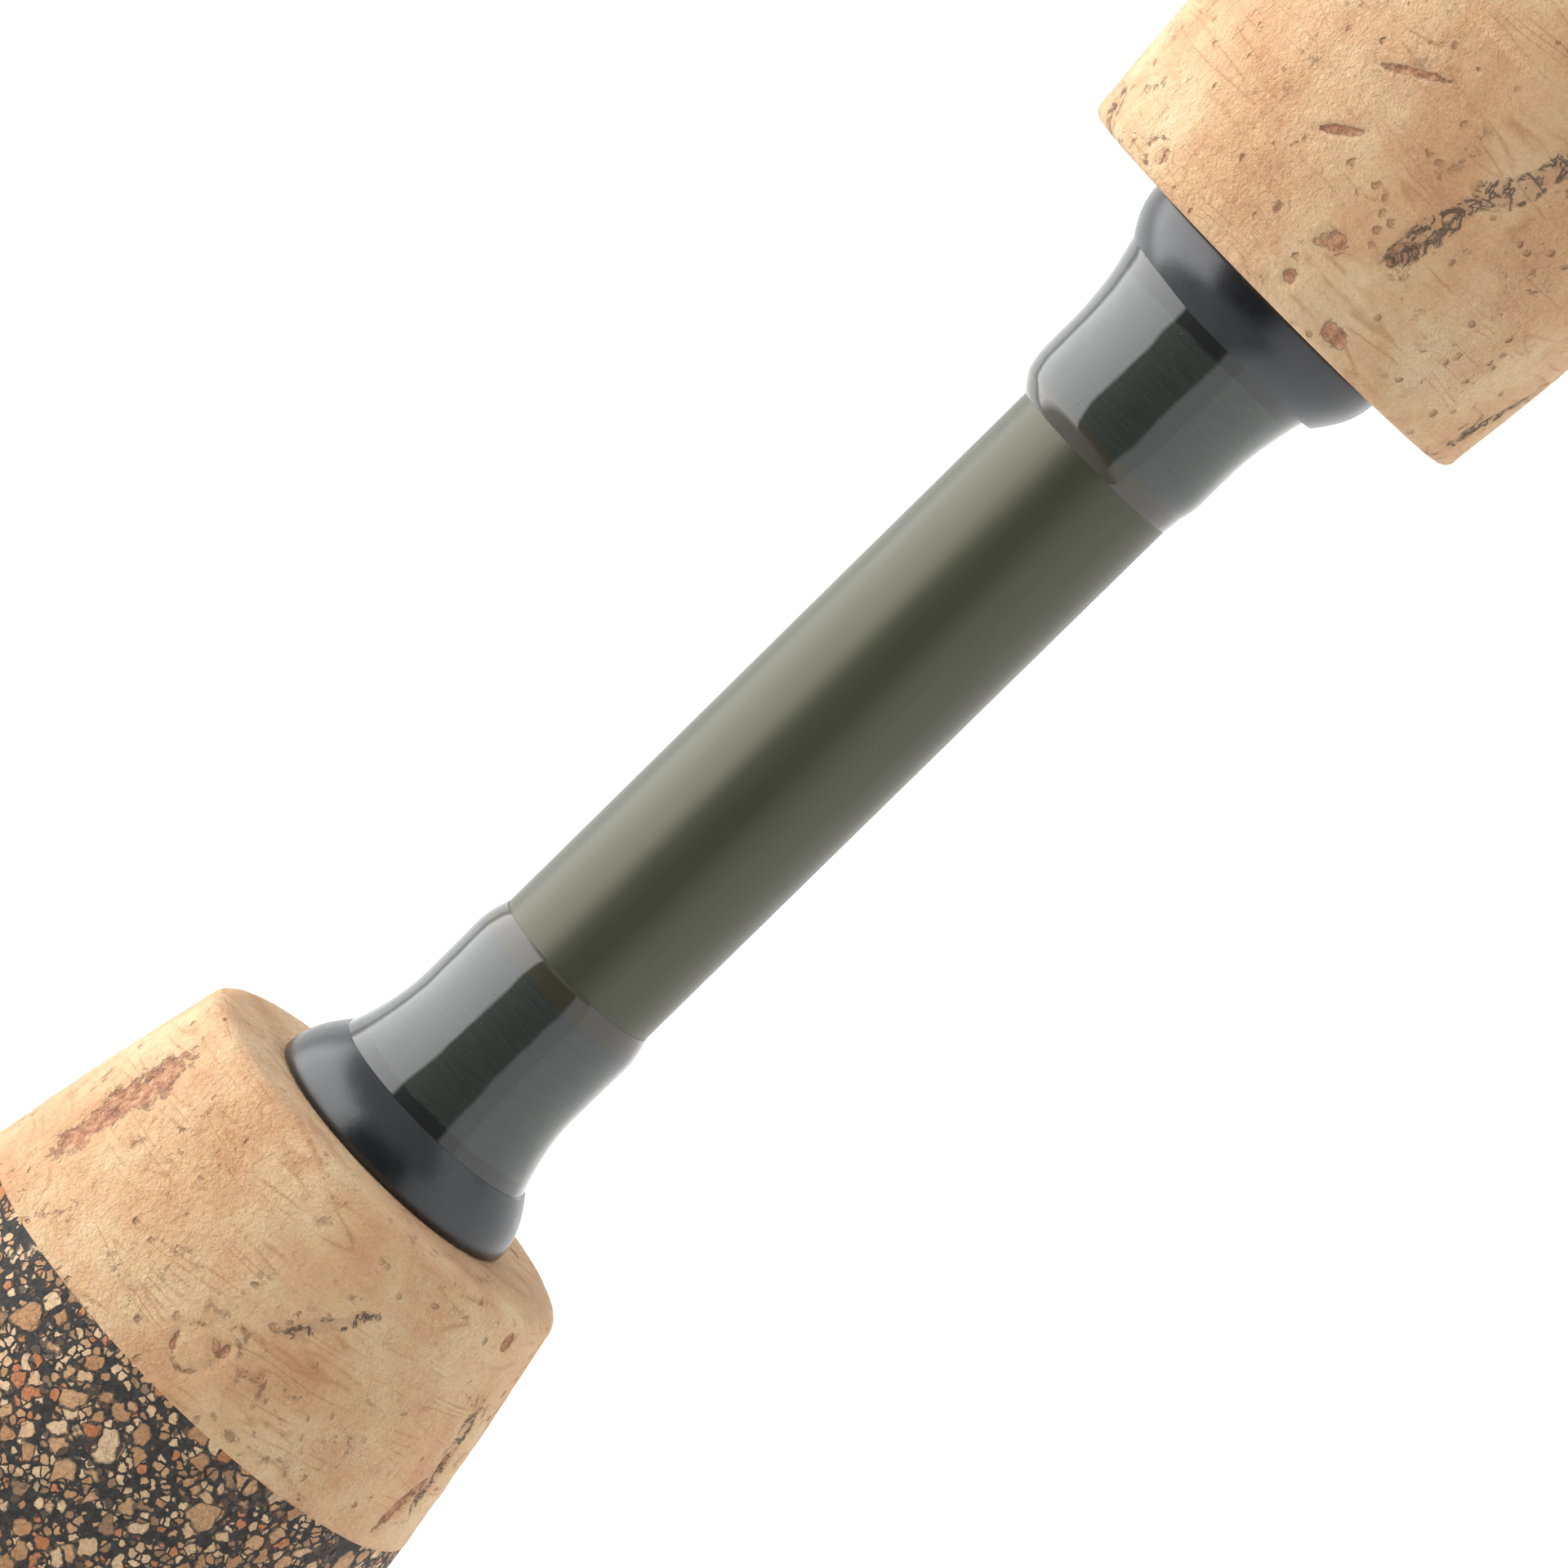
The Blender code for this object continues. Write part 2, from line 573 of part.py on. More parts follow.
join(reel_body, slab("foot", [foot], 2 * FOOT_HALF_WIDTH, None, "XZ", home=CUTTERS))
cut(reel_body, on_crank(CASE_R - CASE_WALL, CASE_RIGHT + 2.2, CASE_LEFT + 1, name="case_hollow", steps=FINE))
cut(reel_body, on_crank(5.8, CASE_RIGHT - 1, CASE_RIGHT + 3, name="crank_hole"))
cut(reel_body, on_spool(4.4, 212.0, NECK_END + 1, name="pinion_hole"))
cut(reel_body, on_spool(BEARING_R + GAP, BEARING_X - GAP, NECK_END + 1, name="bearing_seat"))
cut(reel_body, turned("lever_hole", [(0.0, LEVER_HOLE), (8.0, LEVER_HOLE)], None, None,
                      at=(CRANK_X, 0, CRANK_Z - CASE_R - 3), toward=Z_AXIS, steps=TINY, home=CUTTERS))

SCREW_ANGLES = {"cover_screw_rear": 195, "cover_screw_front": 300}


def about_crank(angle_deg, radius):
    angle = math.radians(angle_deg)
    return (CRANK_X + radius * math.cos(angle), 0, CRANK_Z + radius * math.sin(angle))


for screw_name, angle in SCREW_ANGLES.items():
    centre = about_crank(angle, SCREW_CIRCLE)
    join(reel_body, turned(screw_name + "_post", [(CASE_RIGHT + 1, 1.5), (CASE_LEFT + 1, 1.5)], None, None,
                           at=centre, toward=Y_AXIS, steps=TINY, home=CUTTERS))
cut(reel_body, on_crank(CASE_R + GAP, CASE_LEFT, CASE_LEFT + 12, name="cover_seat", steps=FINE))
for screw_name, angle in SCREW_ANGLES.items():
    centre = about_crank(angle, SCREW_CIRCLE)
    cut(reel_body, turned(screw_name + "_thread", [(CASE_LEFT - 5, SCREW_R + 0.2), (CASE_LEFT + 1, SCREW_R + 0.2)],
                          None, None, at=centre, toward=Y_AXIS, steps=TINY, home=CUTTERS))

side_cover = turned("side_cover", [(CASE_LEFT + 2, SLEEVE_R + GAP), (CASE_LEFT - 0.8, SLEEVE_R + GAP),
                                   (CASE_LEFT - 0.8, SLEEVE_R + 2), (CASE_LEFT + GAP, SLEEVE_R + 2),
                                   (CASE_LEFT + GAP, CASE_R), (COVER_FACE - 1.5, CASE_R),
                                   (COVER_FACE - 0.3, CASE_R - 2), (COVER_FACE, 9.0),
                                   (COVER_FACE + 1.5, 7.0), (COVER_FACE + 1.8, 5.0)],
                    REEL_BLACK, at=ABOUT_CRANK, toward=Y_AXIS, steps=FINE)
for screw_name, angle in SCREW_ANGLES.items():
    centre = about_crank(angle, SCREW_CIRCLE)
    cut(side_cover, turned(screw_name + "_hole", [(CASE_LEFT - 1, SCREW_R + 0.4), (COVER_FACE + 1, SCREW_R + 0.4)],
                           None, None, at=centre, toward=Y_AXIS, steps=TINY, home=CUTTERS))
    turned(screw_name, [(CASE_LEFT - 4, SCREW_R), (COVER_FACE + 0.1, SCREW_R), (COVER_FACE + 0.1, 1.5),
                        (COVER_FACE + 0.9, 1.2)], STEEL, at=centre, toward=Y_AXIS, steps=TINY)

guard_outer = arc((CRANK_X, CRANK_Z), CASE_R + 1.9, 138, 245, 12)
guard_inner = arc((CRANK_X, CRANK_Z), CASE_R + GAP + 0.1, 245, 138, 12)
slab("rear_cap", [guard_outer + guard_inner], 17.0, ALLOY, "XZ", at=(0, -1.5, 0))


# ---- Crank: drive gear, shaft, bearing, arm and knob ----

def toothed(teeth, root, crest, centre=(0, 0)):
    """Outline of a gear with plain flat-topped teeth."""
    points = []
    for tooth in range(teeth):
        for share, radius in ((-0.3, root), (-0.15, crest), (0.15, crest), (0.3, root)):
            angle = 2 * math.pi * (tooth + share) / teeth
            points.append((centre[0] + radius * math.cos(angle), centre[1] + radius * math.sin(angle)))
    return points


GEAR_R = 15.5
GEAR_FACE = 4.4  # the side of the drive gear next to the pinion
GEAR_THICK = 3.0
drive_gear = slab("drive_gear", [toothed(GEAR_TEETH, GEAR_R - 1.1, GEAR_R)], GEAR_THICK, BRASS, "XZ",
                  at=(CRANK_X, GEAR_FACE + GEAR_THICK / 2, CRANK_Z))
join(drive_gear, on_crank(SLEEVE_R, CASE_RIGHT - 0.5, CASE_LEFT + 1.7, name="gear_sleeve"))
cut(drive_gear, on_crank(SHAFT_R + GAP, CASE_RIGHT - 2, CASE_LEFT + 3, name="gear_bore"))
ring("handle_bearing", 5.5, SLEEVE_R + GAP, CASE_RIGHT + 0.1, CASE_RIGHT + 2.2, STEEL, 0.3,
     at=ABOUT_CRANK, toward=Y_AXIS, steps=SMALL)

ARM_Y = -37.5
ARM_THICK = 3.5
KNOB_END = 67.0
to_right = -Y_AXIS
turned("handle_shaft", [(-10.0, SHAFT_R), (12.8, SHAFT_R), (12.8, 4.4), (22.0, SLEEVE_R), (-ARM_Y - GAP, SLEEVE_R)],
       ALLOY, at=ABOUT_CRANK, toward=to_right, steps=SMALL)
arm_length = CRANK_Z - KNOB_Z
arm_outline = arc((0, 0), 5.5, 20, 160, 7) + arc((0, -arm_length), 4.0, 190, 350, 6)
handle_arm = slab("handle_arm", [arm_outline], ARM_THICK, ALLOY, "XZ",
                  at=(CRANK_X, ARM_Y - ARM_THICK / 2, CRANK_Z))
PIN_R = 1.6
join(handle_arm, turned("knob_pin", [(-ARM_Y + 1, PIN_R), (KNOB_END - 4, PIN_R)], None, None,
                        at=(CRANK_X, 0, KNOB_Z), toward=to_right, steps=TINY, home=CUTTERS))
knob_start = -ARM_Y + ARM_THICK + 0.8
turned("handle_knob", [(KNOB_END - 3, PIN_R + GAP), (knob_start, PIN_R + GAP), (knob_start, 4.6),
                       (knob_start + 3, 5.0), (knob_start + 9, 7.4), (KNOB_END - 6, 8.4),
                       (KNOB_END - 1.5, 7.6), (KNOB_END, 5.5)],
       RUBBER, at=(CRANK_X, 0, KNOB_Z), toward=to_right, steps=ROUND)


# ---- Rotor with its pinion, bearing and nut ----
ROTOR_START = 224.5
ROTOR_R = 21.5
COLUMN_R = 14.0
COLUMN_END = 250.0
HUB_X = 235.5
HUB_THICK = 3.2
SHANK_END = 242.5
ARM_INNER = 22.0
ARM_OUTER = 26.4

pinion_start = 213.5
pinion_gear = slab("pinion_gear", [toothed(PINION_TEETH, 3.0, 4.0)], 7.5, BRASS, "YZ",
                   at=(pinion_start + 3.75, 0, REEL_Z))
join(pinion_gear, on_spool(SHANK_R, pinion_start + 7, SHANK_END, name="pinion_shank"))
cut(pinion_gear, on_spool(SHAFT_R + GAP, pinion_start - 1, SHANK_END + 1, name="pinion_bore"))
ring("rotor_bearing", BEARING_R, SHANK_R + GAP, BEARING_X, BEARING_X + BEARING_LENGTH, STEEL,
     at=ABOUT_SPOOL, steps=SMALL)

rotor = turned("rotor", [(ROTOR_START, ROTOR_R), (HUB_X + 0.5, ROTOR_R), (HUB_X + HUB_THICK, ROTOR_R - 2),
                         (HUB_X + HUB_THICK, COLUMN_R), (COLUMN_END, COLUMN_R)], REEL_BLACK,
               [(ROTOR_START, NECK_R + 0.8), (HUB_X, NECK_R + 0.8), (HUB_X, SHANK_R + GAP),
                (HUB_X + HUB_THICK + 0.2, SHANK_R + GAP), (HUB_X + HUB_THICK + 0.2, COLUMN_R - 1.5),
                (COLUMN_END, COLUMN_R - 1.5)], at=ABOUT_SPOOL, steps=FINE)
arm_side = [(228, -9), (238, -9)] + arc((PIVOT_X, 0), 5.5, -90, 90, 8) + [(238, 9), (228, 9)]
for side in (-1, 1):
    middle = side * (ARM_INNER + ARM_OUTER) / 2
    join(rotor, slab("rotor_arm", [arm_side], ARM_OUTER - ARM_INNER, None, "XZ",
                     at=(0, middle, REEL_Z), home=CUTTERS))
    inner, outer = sorted((side * 19.8, side * (ARM_INNER + 1)))
    join(rotor, block("rotor_bridge", (228.5, inner, REEL_Z - 8), (237.5, outer, REEL_Z + 8), None,
                      home=CUTTERS))
slab("rotor_nut", [arc((0, 0), 6.5, 0, 300, 6), arc((0, 0), SHANK_R + GAP, 0, 337.5, SMALL)],
     2.8, STEEL, "YZ", at=(HUB_X + HUB_THICK + 2.0, 0, REEL_Z))


# ---- Bail: arm, roller, wire and holder, all turning about one axis across the rotor ----
ROLLER_START = 8.0
ROLLER_END = 12.4
POST_END = 13.3
BAIL_DEPTH = 38.0
PIVOT = (PIVOT_X, 0, REEL_Z)
bail_way = Vector((math.cos(BAIL_REST), 0, math.sin(BAIL_REST)))
bail_side = Vector((-math.sin(BAIL_REST), 0, math.cos(BAIL_REST)))


def in_bail(along, across):
    """A point of the bail's side view, turned to where the closed bail stands."""
    place = bail_way * along + bail_side * across
    return (place.x, place.z)


def bail_plate(name, hub_r, reach, tip_half, side):
    hub = [in_bail(u, v) for u, v in arc((0, 0), hub_r, 60, 300, 12)]
    tip = [in_bail(reach, -tip_half), in_bail(reach, tip_half)]
    return slab(name, [hub + tip], 3.0, ALLOY, "XZ", at=(PIVOT_X, side * (ARM_OUTER + 1.9), REEL_Z))


bail_arm = bail_plate("bail_arm", 5.2, ROLLER_START - 0.5, 2.2, 1)
roller_y = ARM_OUTER + 1.9
roller_at = (PIVOT_X, roller_y, REEL_Z)
join(bail_arm, turned("roller_post", [(ROLLER_START - 2, 0.9), (POST_END, 0.9)], None, None, at=roller_at,
                      toward=bail_way, steps=TINY, home=CUTTERS))
turned("line_roller", [(ROLLER_START, 2.8), (ROLLER_START + 1.4, 2.1), (ROLLER_END - 1.4, 2.1),
                       (ROLLER_END, 2.8)], STEEL, 1.2, at=roller_at, toward=bail_way, steps=SMALL)
bail_plate("bail_holder", 4.6, 6.0, 1.8, -1)
wire_points = [(roller_y, POST_END + GAP)]
for share in range(15):
    turn = math.radians(20 + share * 10)
    wire_points.append((roller_y * math.cos(turn), 8.0 + (BAIL_DEPTH - 8.0) * math.sin(turn)))
wire_points += [(-roller_y, 9.5), (-roller_y, 6.0 + GAP)]
wire("bail_wire", [(bail_way.x * d, y, bail_way.z * d) for y, d in wire_points], 0.9, STEEL, at=PIVOT)


# ---- Spool side: main shaft, oscillation slider, spool and drag knob ----
SHAFT_START = 189.4
SHAFT_END = 277.0
turned("main_shaft", [(SHAFT_START, SHAFT_R), (SHAFT_END, SHAFT_R)], STEEL, at=ABOUT_SPOOL, steps=SMALL)
slider = block("oscillation_slider", (190.0, -4.0, REEL_Z - 3.5), (197.0, 3.8, REEL_Z + 3.0), BRASS, 0.4)
cut(slider, on_spool(SHAFT_R + GAP, 189, 198, name="slider_bore"))

SPOOL_START = 242.0
ARBOR_START = 257.2
LIP_X = 270.0
SPOOL_END = 273.0
SKIRT_R = 18.5
SPOOL_ARBOR_R = 14.5
LIP_R = 20.5
WEB_X = 254.0
RECESS_X = 266.0
KNOB_R = 11.0
turned("spool", [(SPOOL_START, SKIRT_R), (ARBOR_START - 2.7, SKIRT_R), (ARBOR_START - 1.2, SKIRT_R + 0.8),
                 (ARBOR_START, SPOOL_ARBOR_R), (LIP_X - 0.5, SPOOL_ARBOR_R), (LIP_X + 0.8, LIP_R),
                 (SPOOL_END - 0.4, LIP_R - 0.2), (SPOOL_END, LIP_R - 1)], ALLOY,
       [(SPOOL_START, SKIRT_R - 1.7), (WEB_X, SKIRT_R - 1.7), (WEB_X, SHAFT_R + GAP),
        (RECESS_X, SHAFT_R + GAP), (RECESS_X, KNOB_R + 0.6), (SPOOL_END, KNOB_R + 0.9)],
       at=ABOUT_SPOOL, steps=FINE)
turned("drag_knob", [(SHAFT_END + 0.5, SHAFT_R + GAP), (RECESS_X + 0.5, SHAFT_R + GAP),
                     (RECESS_X + 0.5, KNOB_R - 0.1), (SPOOL_END + 1, KNOB_R), (SPOOL_END + 8, KNOB_R - 0.6),
                     (SPOOL_END + 9.5, KNOB_R - 2)], REEL_BLACK, at=ABOUT_SPOOL, steps=ROUND)


# ---- Anti-reverse lever under the case ----
lever_top = CRANK_Z - CASE_R + 3.8
lever_low = CRANK_Z - CASE_R - 3.0
lever = turned("anti_reverse_lever", [(lever_low, 3.4), (lever_low + 2.2, 3.4), (lever_low + 2.2, 1.5),
                                      (lever_top, 1.5)], REEL_BLACK, at=(CRANK_X, 0, 0), toward=Z_AXIS,
               steps=TINY)
join(lever, block("lever_tab", (CRANK_X, -1.6, lever_low + 0.2), (CRANK_X + 10, 1.6, lever_low + 2.0), None,
                  home=CUTTERS))
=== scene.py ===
"""Looks of the spinning rod and reel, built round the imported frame; all lengths in metres."""

import json
import math

import bmesh
import bpy
import numpy as np
from mathutils import Matrix, Vector

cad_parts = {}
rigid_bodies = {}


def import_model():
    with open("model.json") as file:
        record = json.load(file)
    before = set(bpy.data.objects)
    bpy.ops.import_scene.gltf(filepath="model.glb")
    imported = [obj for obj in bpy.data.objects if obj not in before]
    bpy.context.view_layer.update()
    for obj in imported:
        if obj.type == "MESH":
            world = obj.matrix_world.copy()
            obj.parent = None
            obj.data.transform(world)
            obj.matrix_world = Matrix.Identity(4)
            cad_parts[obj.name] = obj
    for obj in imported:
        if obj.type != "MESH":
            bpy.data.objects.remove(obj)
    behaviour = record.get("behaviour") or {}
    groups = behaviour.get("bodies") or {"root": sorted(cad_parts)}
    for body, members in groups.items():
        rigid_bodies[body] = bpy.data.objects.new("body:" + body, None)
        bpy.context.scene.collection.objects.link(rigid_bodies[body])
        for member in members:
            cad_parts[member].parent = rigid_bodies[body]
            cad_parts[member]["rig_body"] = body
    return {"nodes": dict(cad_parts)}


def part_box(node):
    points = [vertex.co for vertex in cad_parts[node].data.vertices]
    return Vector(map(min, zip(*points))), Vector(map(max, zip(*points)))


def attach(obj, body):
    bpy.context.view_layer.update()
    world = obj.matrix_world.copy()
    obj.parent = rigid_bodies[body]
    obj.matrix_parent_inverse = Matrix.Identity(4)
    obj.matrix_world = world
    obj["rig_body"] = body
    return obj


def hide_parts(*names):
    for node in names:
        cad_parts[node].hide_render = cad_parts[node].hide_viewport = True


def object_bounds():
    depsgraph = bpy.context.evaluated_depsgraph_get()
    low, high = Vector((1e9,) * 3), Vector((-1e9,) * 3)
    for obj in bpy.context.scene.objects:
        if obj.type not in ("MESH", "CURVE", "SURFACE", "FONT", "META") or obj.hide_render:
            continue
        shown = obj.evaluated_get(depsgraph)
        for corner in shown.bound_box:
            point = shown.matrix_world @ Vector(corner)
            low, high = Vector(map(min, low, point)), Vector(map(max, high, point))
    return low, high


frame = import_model()
cad_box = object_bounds()

MM = 0.001
GAP = 0.0003  # the CAD model's gap between neighbouring pieces
CORNER = math.radians(40)  # a sharper bend than this between faces is a true corner
TURNED_CORNER = math.radians(50)
X_AXIS = Vector((1, 0, 0))
Y_AXIS = Vector((0, 1, 0))
Z_AXIS = Vector((0, 0, 1))


def low(node):
    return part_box(node)[0]


def high(node):
    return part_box(node)[1]


def middle(node, axis):
    return (low(node)[axis] + high(node)[axis]) / 2


# ---- Stations and radii, read from the frame ----
GRIP_END = high("front_cork")[0] + GAP / 2
BURL_END = low("front_cork")[0] - GAP / 2
BURL_START = low("burl_cork")[0] - GAP / 2
RING = 0.0127  # one cork ring
SEAT_CORK_START = low("seat_cork")[0] - GAP / 2
SEAT_START = high("seat_cork")[0] + GAP / 2
FORE_START = low("fore_burl")[0] - GAP / 2
FORE_END = high("fore_cork")[0]
BLANK_R = high("butt_blank")[2]
GRIP_R_MAX = high("burl_cork")[2]
SPOOL_AXIS_Z = middle("spool", 2)
AXIS_AT = (0, 0, SPOOL_AXIS_Z)
CRANK_X, CRANK_Z = middle("side_cover", 0), middle("side_cover", 2)
CRANK_AT = (CRANK_X, 0, CRANK_Z)
VIEW_X = 0.0949  # the middle of the exposed blank and the cork beside it


# ---- Repeatable noise on arrays of points ----

def lattice(cells, seed):
    """A number from 0 to 1 for each whole-number cell."""
    mixed = (cells[..., 0].astype(np.int64) * 73856093) ^ (cells[..., 1].astype(np.int64) * 19349663)
    mixed = mixed ^ (cells[..., 2].astype(np.int64) * 83492791) ^ (seed * 2654435761)
    mixed = (mixed ^ (mixed >> 13)) * 1274126177
    mixed = (mixed ^ (mixed >> 16)) & 0xFFFFFF
    return mixed / float(0xFFFFFF)


def value_noise(points, cell, seed):
    """Smooth noise from -1 to 1 whose lumps are about one cell wide."""
    scaled = points / cell
    base = np.floor(scaled)
    part = scaled - base
    part = part * part * (3 - 2 * part)
    total = np.zeros(len(points))
    for corner in range(8):
        step = np.array([corner & 1, (corner >> 1) & 1, (corner >> 2) & 1])
        weight = np.prod(np.where(step, part, 1 - part), axis=1)
        total += weight * lattice(base + step, seed)
    return total * 2 - 1


def cells_near(points, cell, seed, stretch=(1, 1, 1)):
    """Distance to the nearest scattered point, in cells, and that point's own random number."""
    scaled = points / (cell * np.array(stretch))
    base = np.floor(scaled)
    best = np.full(len(points), 9.0)
    chance = np.zeros(len(points))
    for dx in (-1, 0, 1):
        for dy in (-1, 0, 1):
            for dz in (-1, 0, 1):
                here = base + np.array([dx, dy, dz])
                offset = np.stack([lattice(here, seed + k) for k in (1, 2, 3)], axis=1)
                reach = np.linalg.norm(here + offset - scaled, axis=1)
                closer = reach < best
                best = np.where(closer, reach, best)
                chance = np.where(closer, lattice(here, seed + 4), chance)
    return best, chance


# ---- Meshes ----

def finish_piece(obj, material, node):
    """Gives a piece its finish, puts it on the body of the CAD node that it stands for, and hides that
    node.
    """
    obj.data.materials.clear()
    obj.data.materials.append(material)
    if node:
        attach(obj, frame["nodes"][node]["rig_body"])
        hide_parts(node)
    return obj


def basis(toward):
    """Two directions square to an axis, for turning about it."""
    toward = Vector(toward).normalized()
    side = Z_AXIS.cross(toward)
    if side.length < 0.1:
        side = X_AXIS.copy()
    side.normalize()
    return np.array(toward), np.array(side), np.array(toward.cross(side))


def turned(name, profile, material, node=None, at=(0, 0, 0), toward=X_AXIS, sides=96, shape=None):
    """A turned piece: profile lists (distance along from at, radius) all the way round its section.

    shape may push the surface out, in metres, from arrays of points, distances along, angles and radii.
    A profile that starts and ends on the axis stays open there; any other one is closed into a ring.
    """
    closed = profile[0][1] > 0 or profile[-1][1] > 0
    profile = np.array(profile, dtype=float)
    along_way, side, other = basis(toward)
    angles = np.linspace(0, 2 * math.pi, sides, endpoint=False)
    rows = len(profile)
    along = np.repeat(profile[:, 0], sides)
    radius = np.repeat(profile[:, 1], sides)
    turn = np.tile(angles, rows)
    outward = np.outer(np.cos(turn), side) + np.outer(np.sin(turn), other)
    centre = np.outer(along, along_way) + np.array(at)
    points = centre + outward * radius[:, None]
    extras = {}
    if shape is not None:
        push, extras = shape(points, along, turn, radius)
        points = points + outward * push[:, None]
    last = rows if closed else rows - 1
    row = np.arange(last)[:, None]
    column = np.arange(sides)[None, :]
    after = (row + 1) % rows
    beside = (column + 1) % sides
    faces = np.stack([row * sides + column, row * sides + beside, after * sides + beside,
                      after * sides + column], axis=-1).reshape(-1, 4)
    mesh = bpy.data.meshes.new(name)
    mesh.vertices.add(len(points))
    mesh.vertices.foreach_set("co", points.astype(np.float32).ravel())
    mesh.loops.add(len(faces) * 4)
    mesh.loops.foreach_set("vertex_index", faces.astype(np.int32).ravel())
    mesh.polygons.add(len(faces))
    mesh.polygons.foreach_set("loop_start", np.arange(0, len(faces) * 4, 4, dtype=np.int32))
    mesh.polygons.foreach_set("loop_total", np.full(len(faces), 4, dtype=np.int32))
    mesh.update(calc_edges=True)
    for key, values in extras.items():
        layer = mesh.attributes.new(key, "FLOAT", "POINT")
        layer.data.foreach_set("value", values.astype(np.float32))
    mesh.polygons.foreach_set("use_smooth", np.ones(len(faces), dtype=bool))
    obj = bpy.data.objects.new(name, mesh)
    bpy.context.scene.collection.objects.link(obj)
    tidy(obj, merge=not closed)
    return finish_piece(obj, material, node)


def tidy(obj, merge=False):
    """Points every face outwards and marks the true corners as sharp."""
    grid = bmesh.new()
    grid.from_mesh(obj.data)
    if merge:
        bmesh.ops.remove_doubles(grid, verts=grid.verts, dist=1e-7)
    bmesh.ops.recalc_face_normals(grid, faces=grid.faces)
    grid.to_mesh(obj.data)
    grid.free()
    obj.data.set_sharp_from_angle(angle=TURNED_CORNER)


def rounded(profile, radius=0.0003, steps=3):
    """Rounds the corners of a closed section, given as (distance along, radius) points."""
    result = []
    count = len(profile)
    for i in range(count):
        before, corner, after = (Vector(profile[(i + k) % count]) for k in (-1, 0, 1))
        inward, outward = before - corner, after - corner
        reach = min(radius, inward.length * 0.45, outward.length * 0.45)
        start = corner + inward.normalized() * reach
        end = corner + outward.normalized() * reach
        for step in range(steps + 1):
            share = step / steps
            mid = start.lerp(corner, share).lerp(corner.lerp(end, share), share)
            result.append((mid.x, mid.y))
    return result


def resampled(profile, spacing):
    """Adds points to an open section so that none are further apart than the spacing."""
    result = [profile[0]]
    for (a, b), (c, d) in zip(profile, profile[1:]):
        steps = max(1, math.ceil(math.hypot(c - a, d - b) / spacing))
        result += [(a + (c - a) * i / steps, b + (d - b) * i / steps) for i in range(1, steps + 1)]
    return result


# ---- Materials ----


class Tree:
    """Short calls for adding and joining the nodes of a material or a world."""

    def __init__(self, owner):
        owner.use_nodes = True
        self.nodes = owner.node_tree.nodes
        self.links = owner.node_tree.links

    def node(self, kind, inputs=(), **settings):
        made = self.nodes.new("ShaderNode" + kind)
        for key, value in settings.items():
            setattr(made, key, value)
        for key, value in dict(inputs).items():
            if isinstance(value, bpy.types.NodeSocket):
                self.links.new(value, made.inputs[key])
            else:
                made.inputs[key].default_value = value
        return made

    def ramp(self, value, stops, smooth="LINEAR"):
        made = self.node("ValToRGB", {"Fac": value})
        made.color_ramp.interpolation = smooth
        points = made.color_ramp.elements
        while len(points) < len(stops):
            points.new(0.5)
        for point, (place, colour) in zip(points, stops):
            point.position = place
            point.color = (colour,) * 3 + (1,) if isinstance(colour, (int, float)) else (*colour, 1)
        return made.outputs["Color"]

    def fade(self, value, start, end, first=0.0, last=1.0):
        """A level or colour that goes from first to last as the value goes from start to end."""
        return self.ramp(value, [(start, first), (end, last)])

    def mix(self, share, first, second, blend="MIX"):
        first, second = ((*value, 1) if isinstance(value, tuple) else value for value in (first, second))
        made = self.node("Mix", {0: share, 6: first, 7: second}, data_type="RGBA", blend_type=blend)
        return made.outputs[2]

    def math(self, kind, first, second=0.0, clamp=False):
        return self.node("Math", {0: first, 1: second}, operation=kind, use_clamp=clamp).outputs[0]

    def plus(self, first, second):
        return self.math("ADD", first, second)

    def minus(self, first, second):
        return self.math("SUBTRACT", first, second)

    def times(self, first, second, clamp=False):
        return self.math("MULTIPLY", first, second, clamp)

    def apart(self, first, second):
        return self.math("ABSOLUTE", self.minus(first, second))


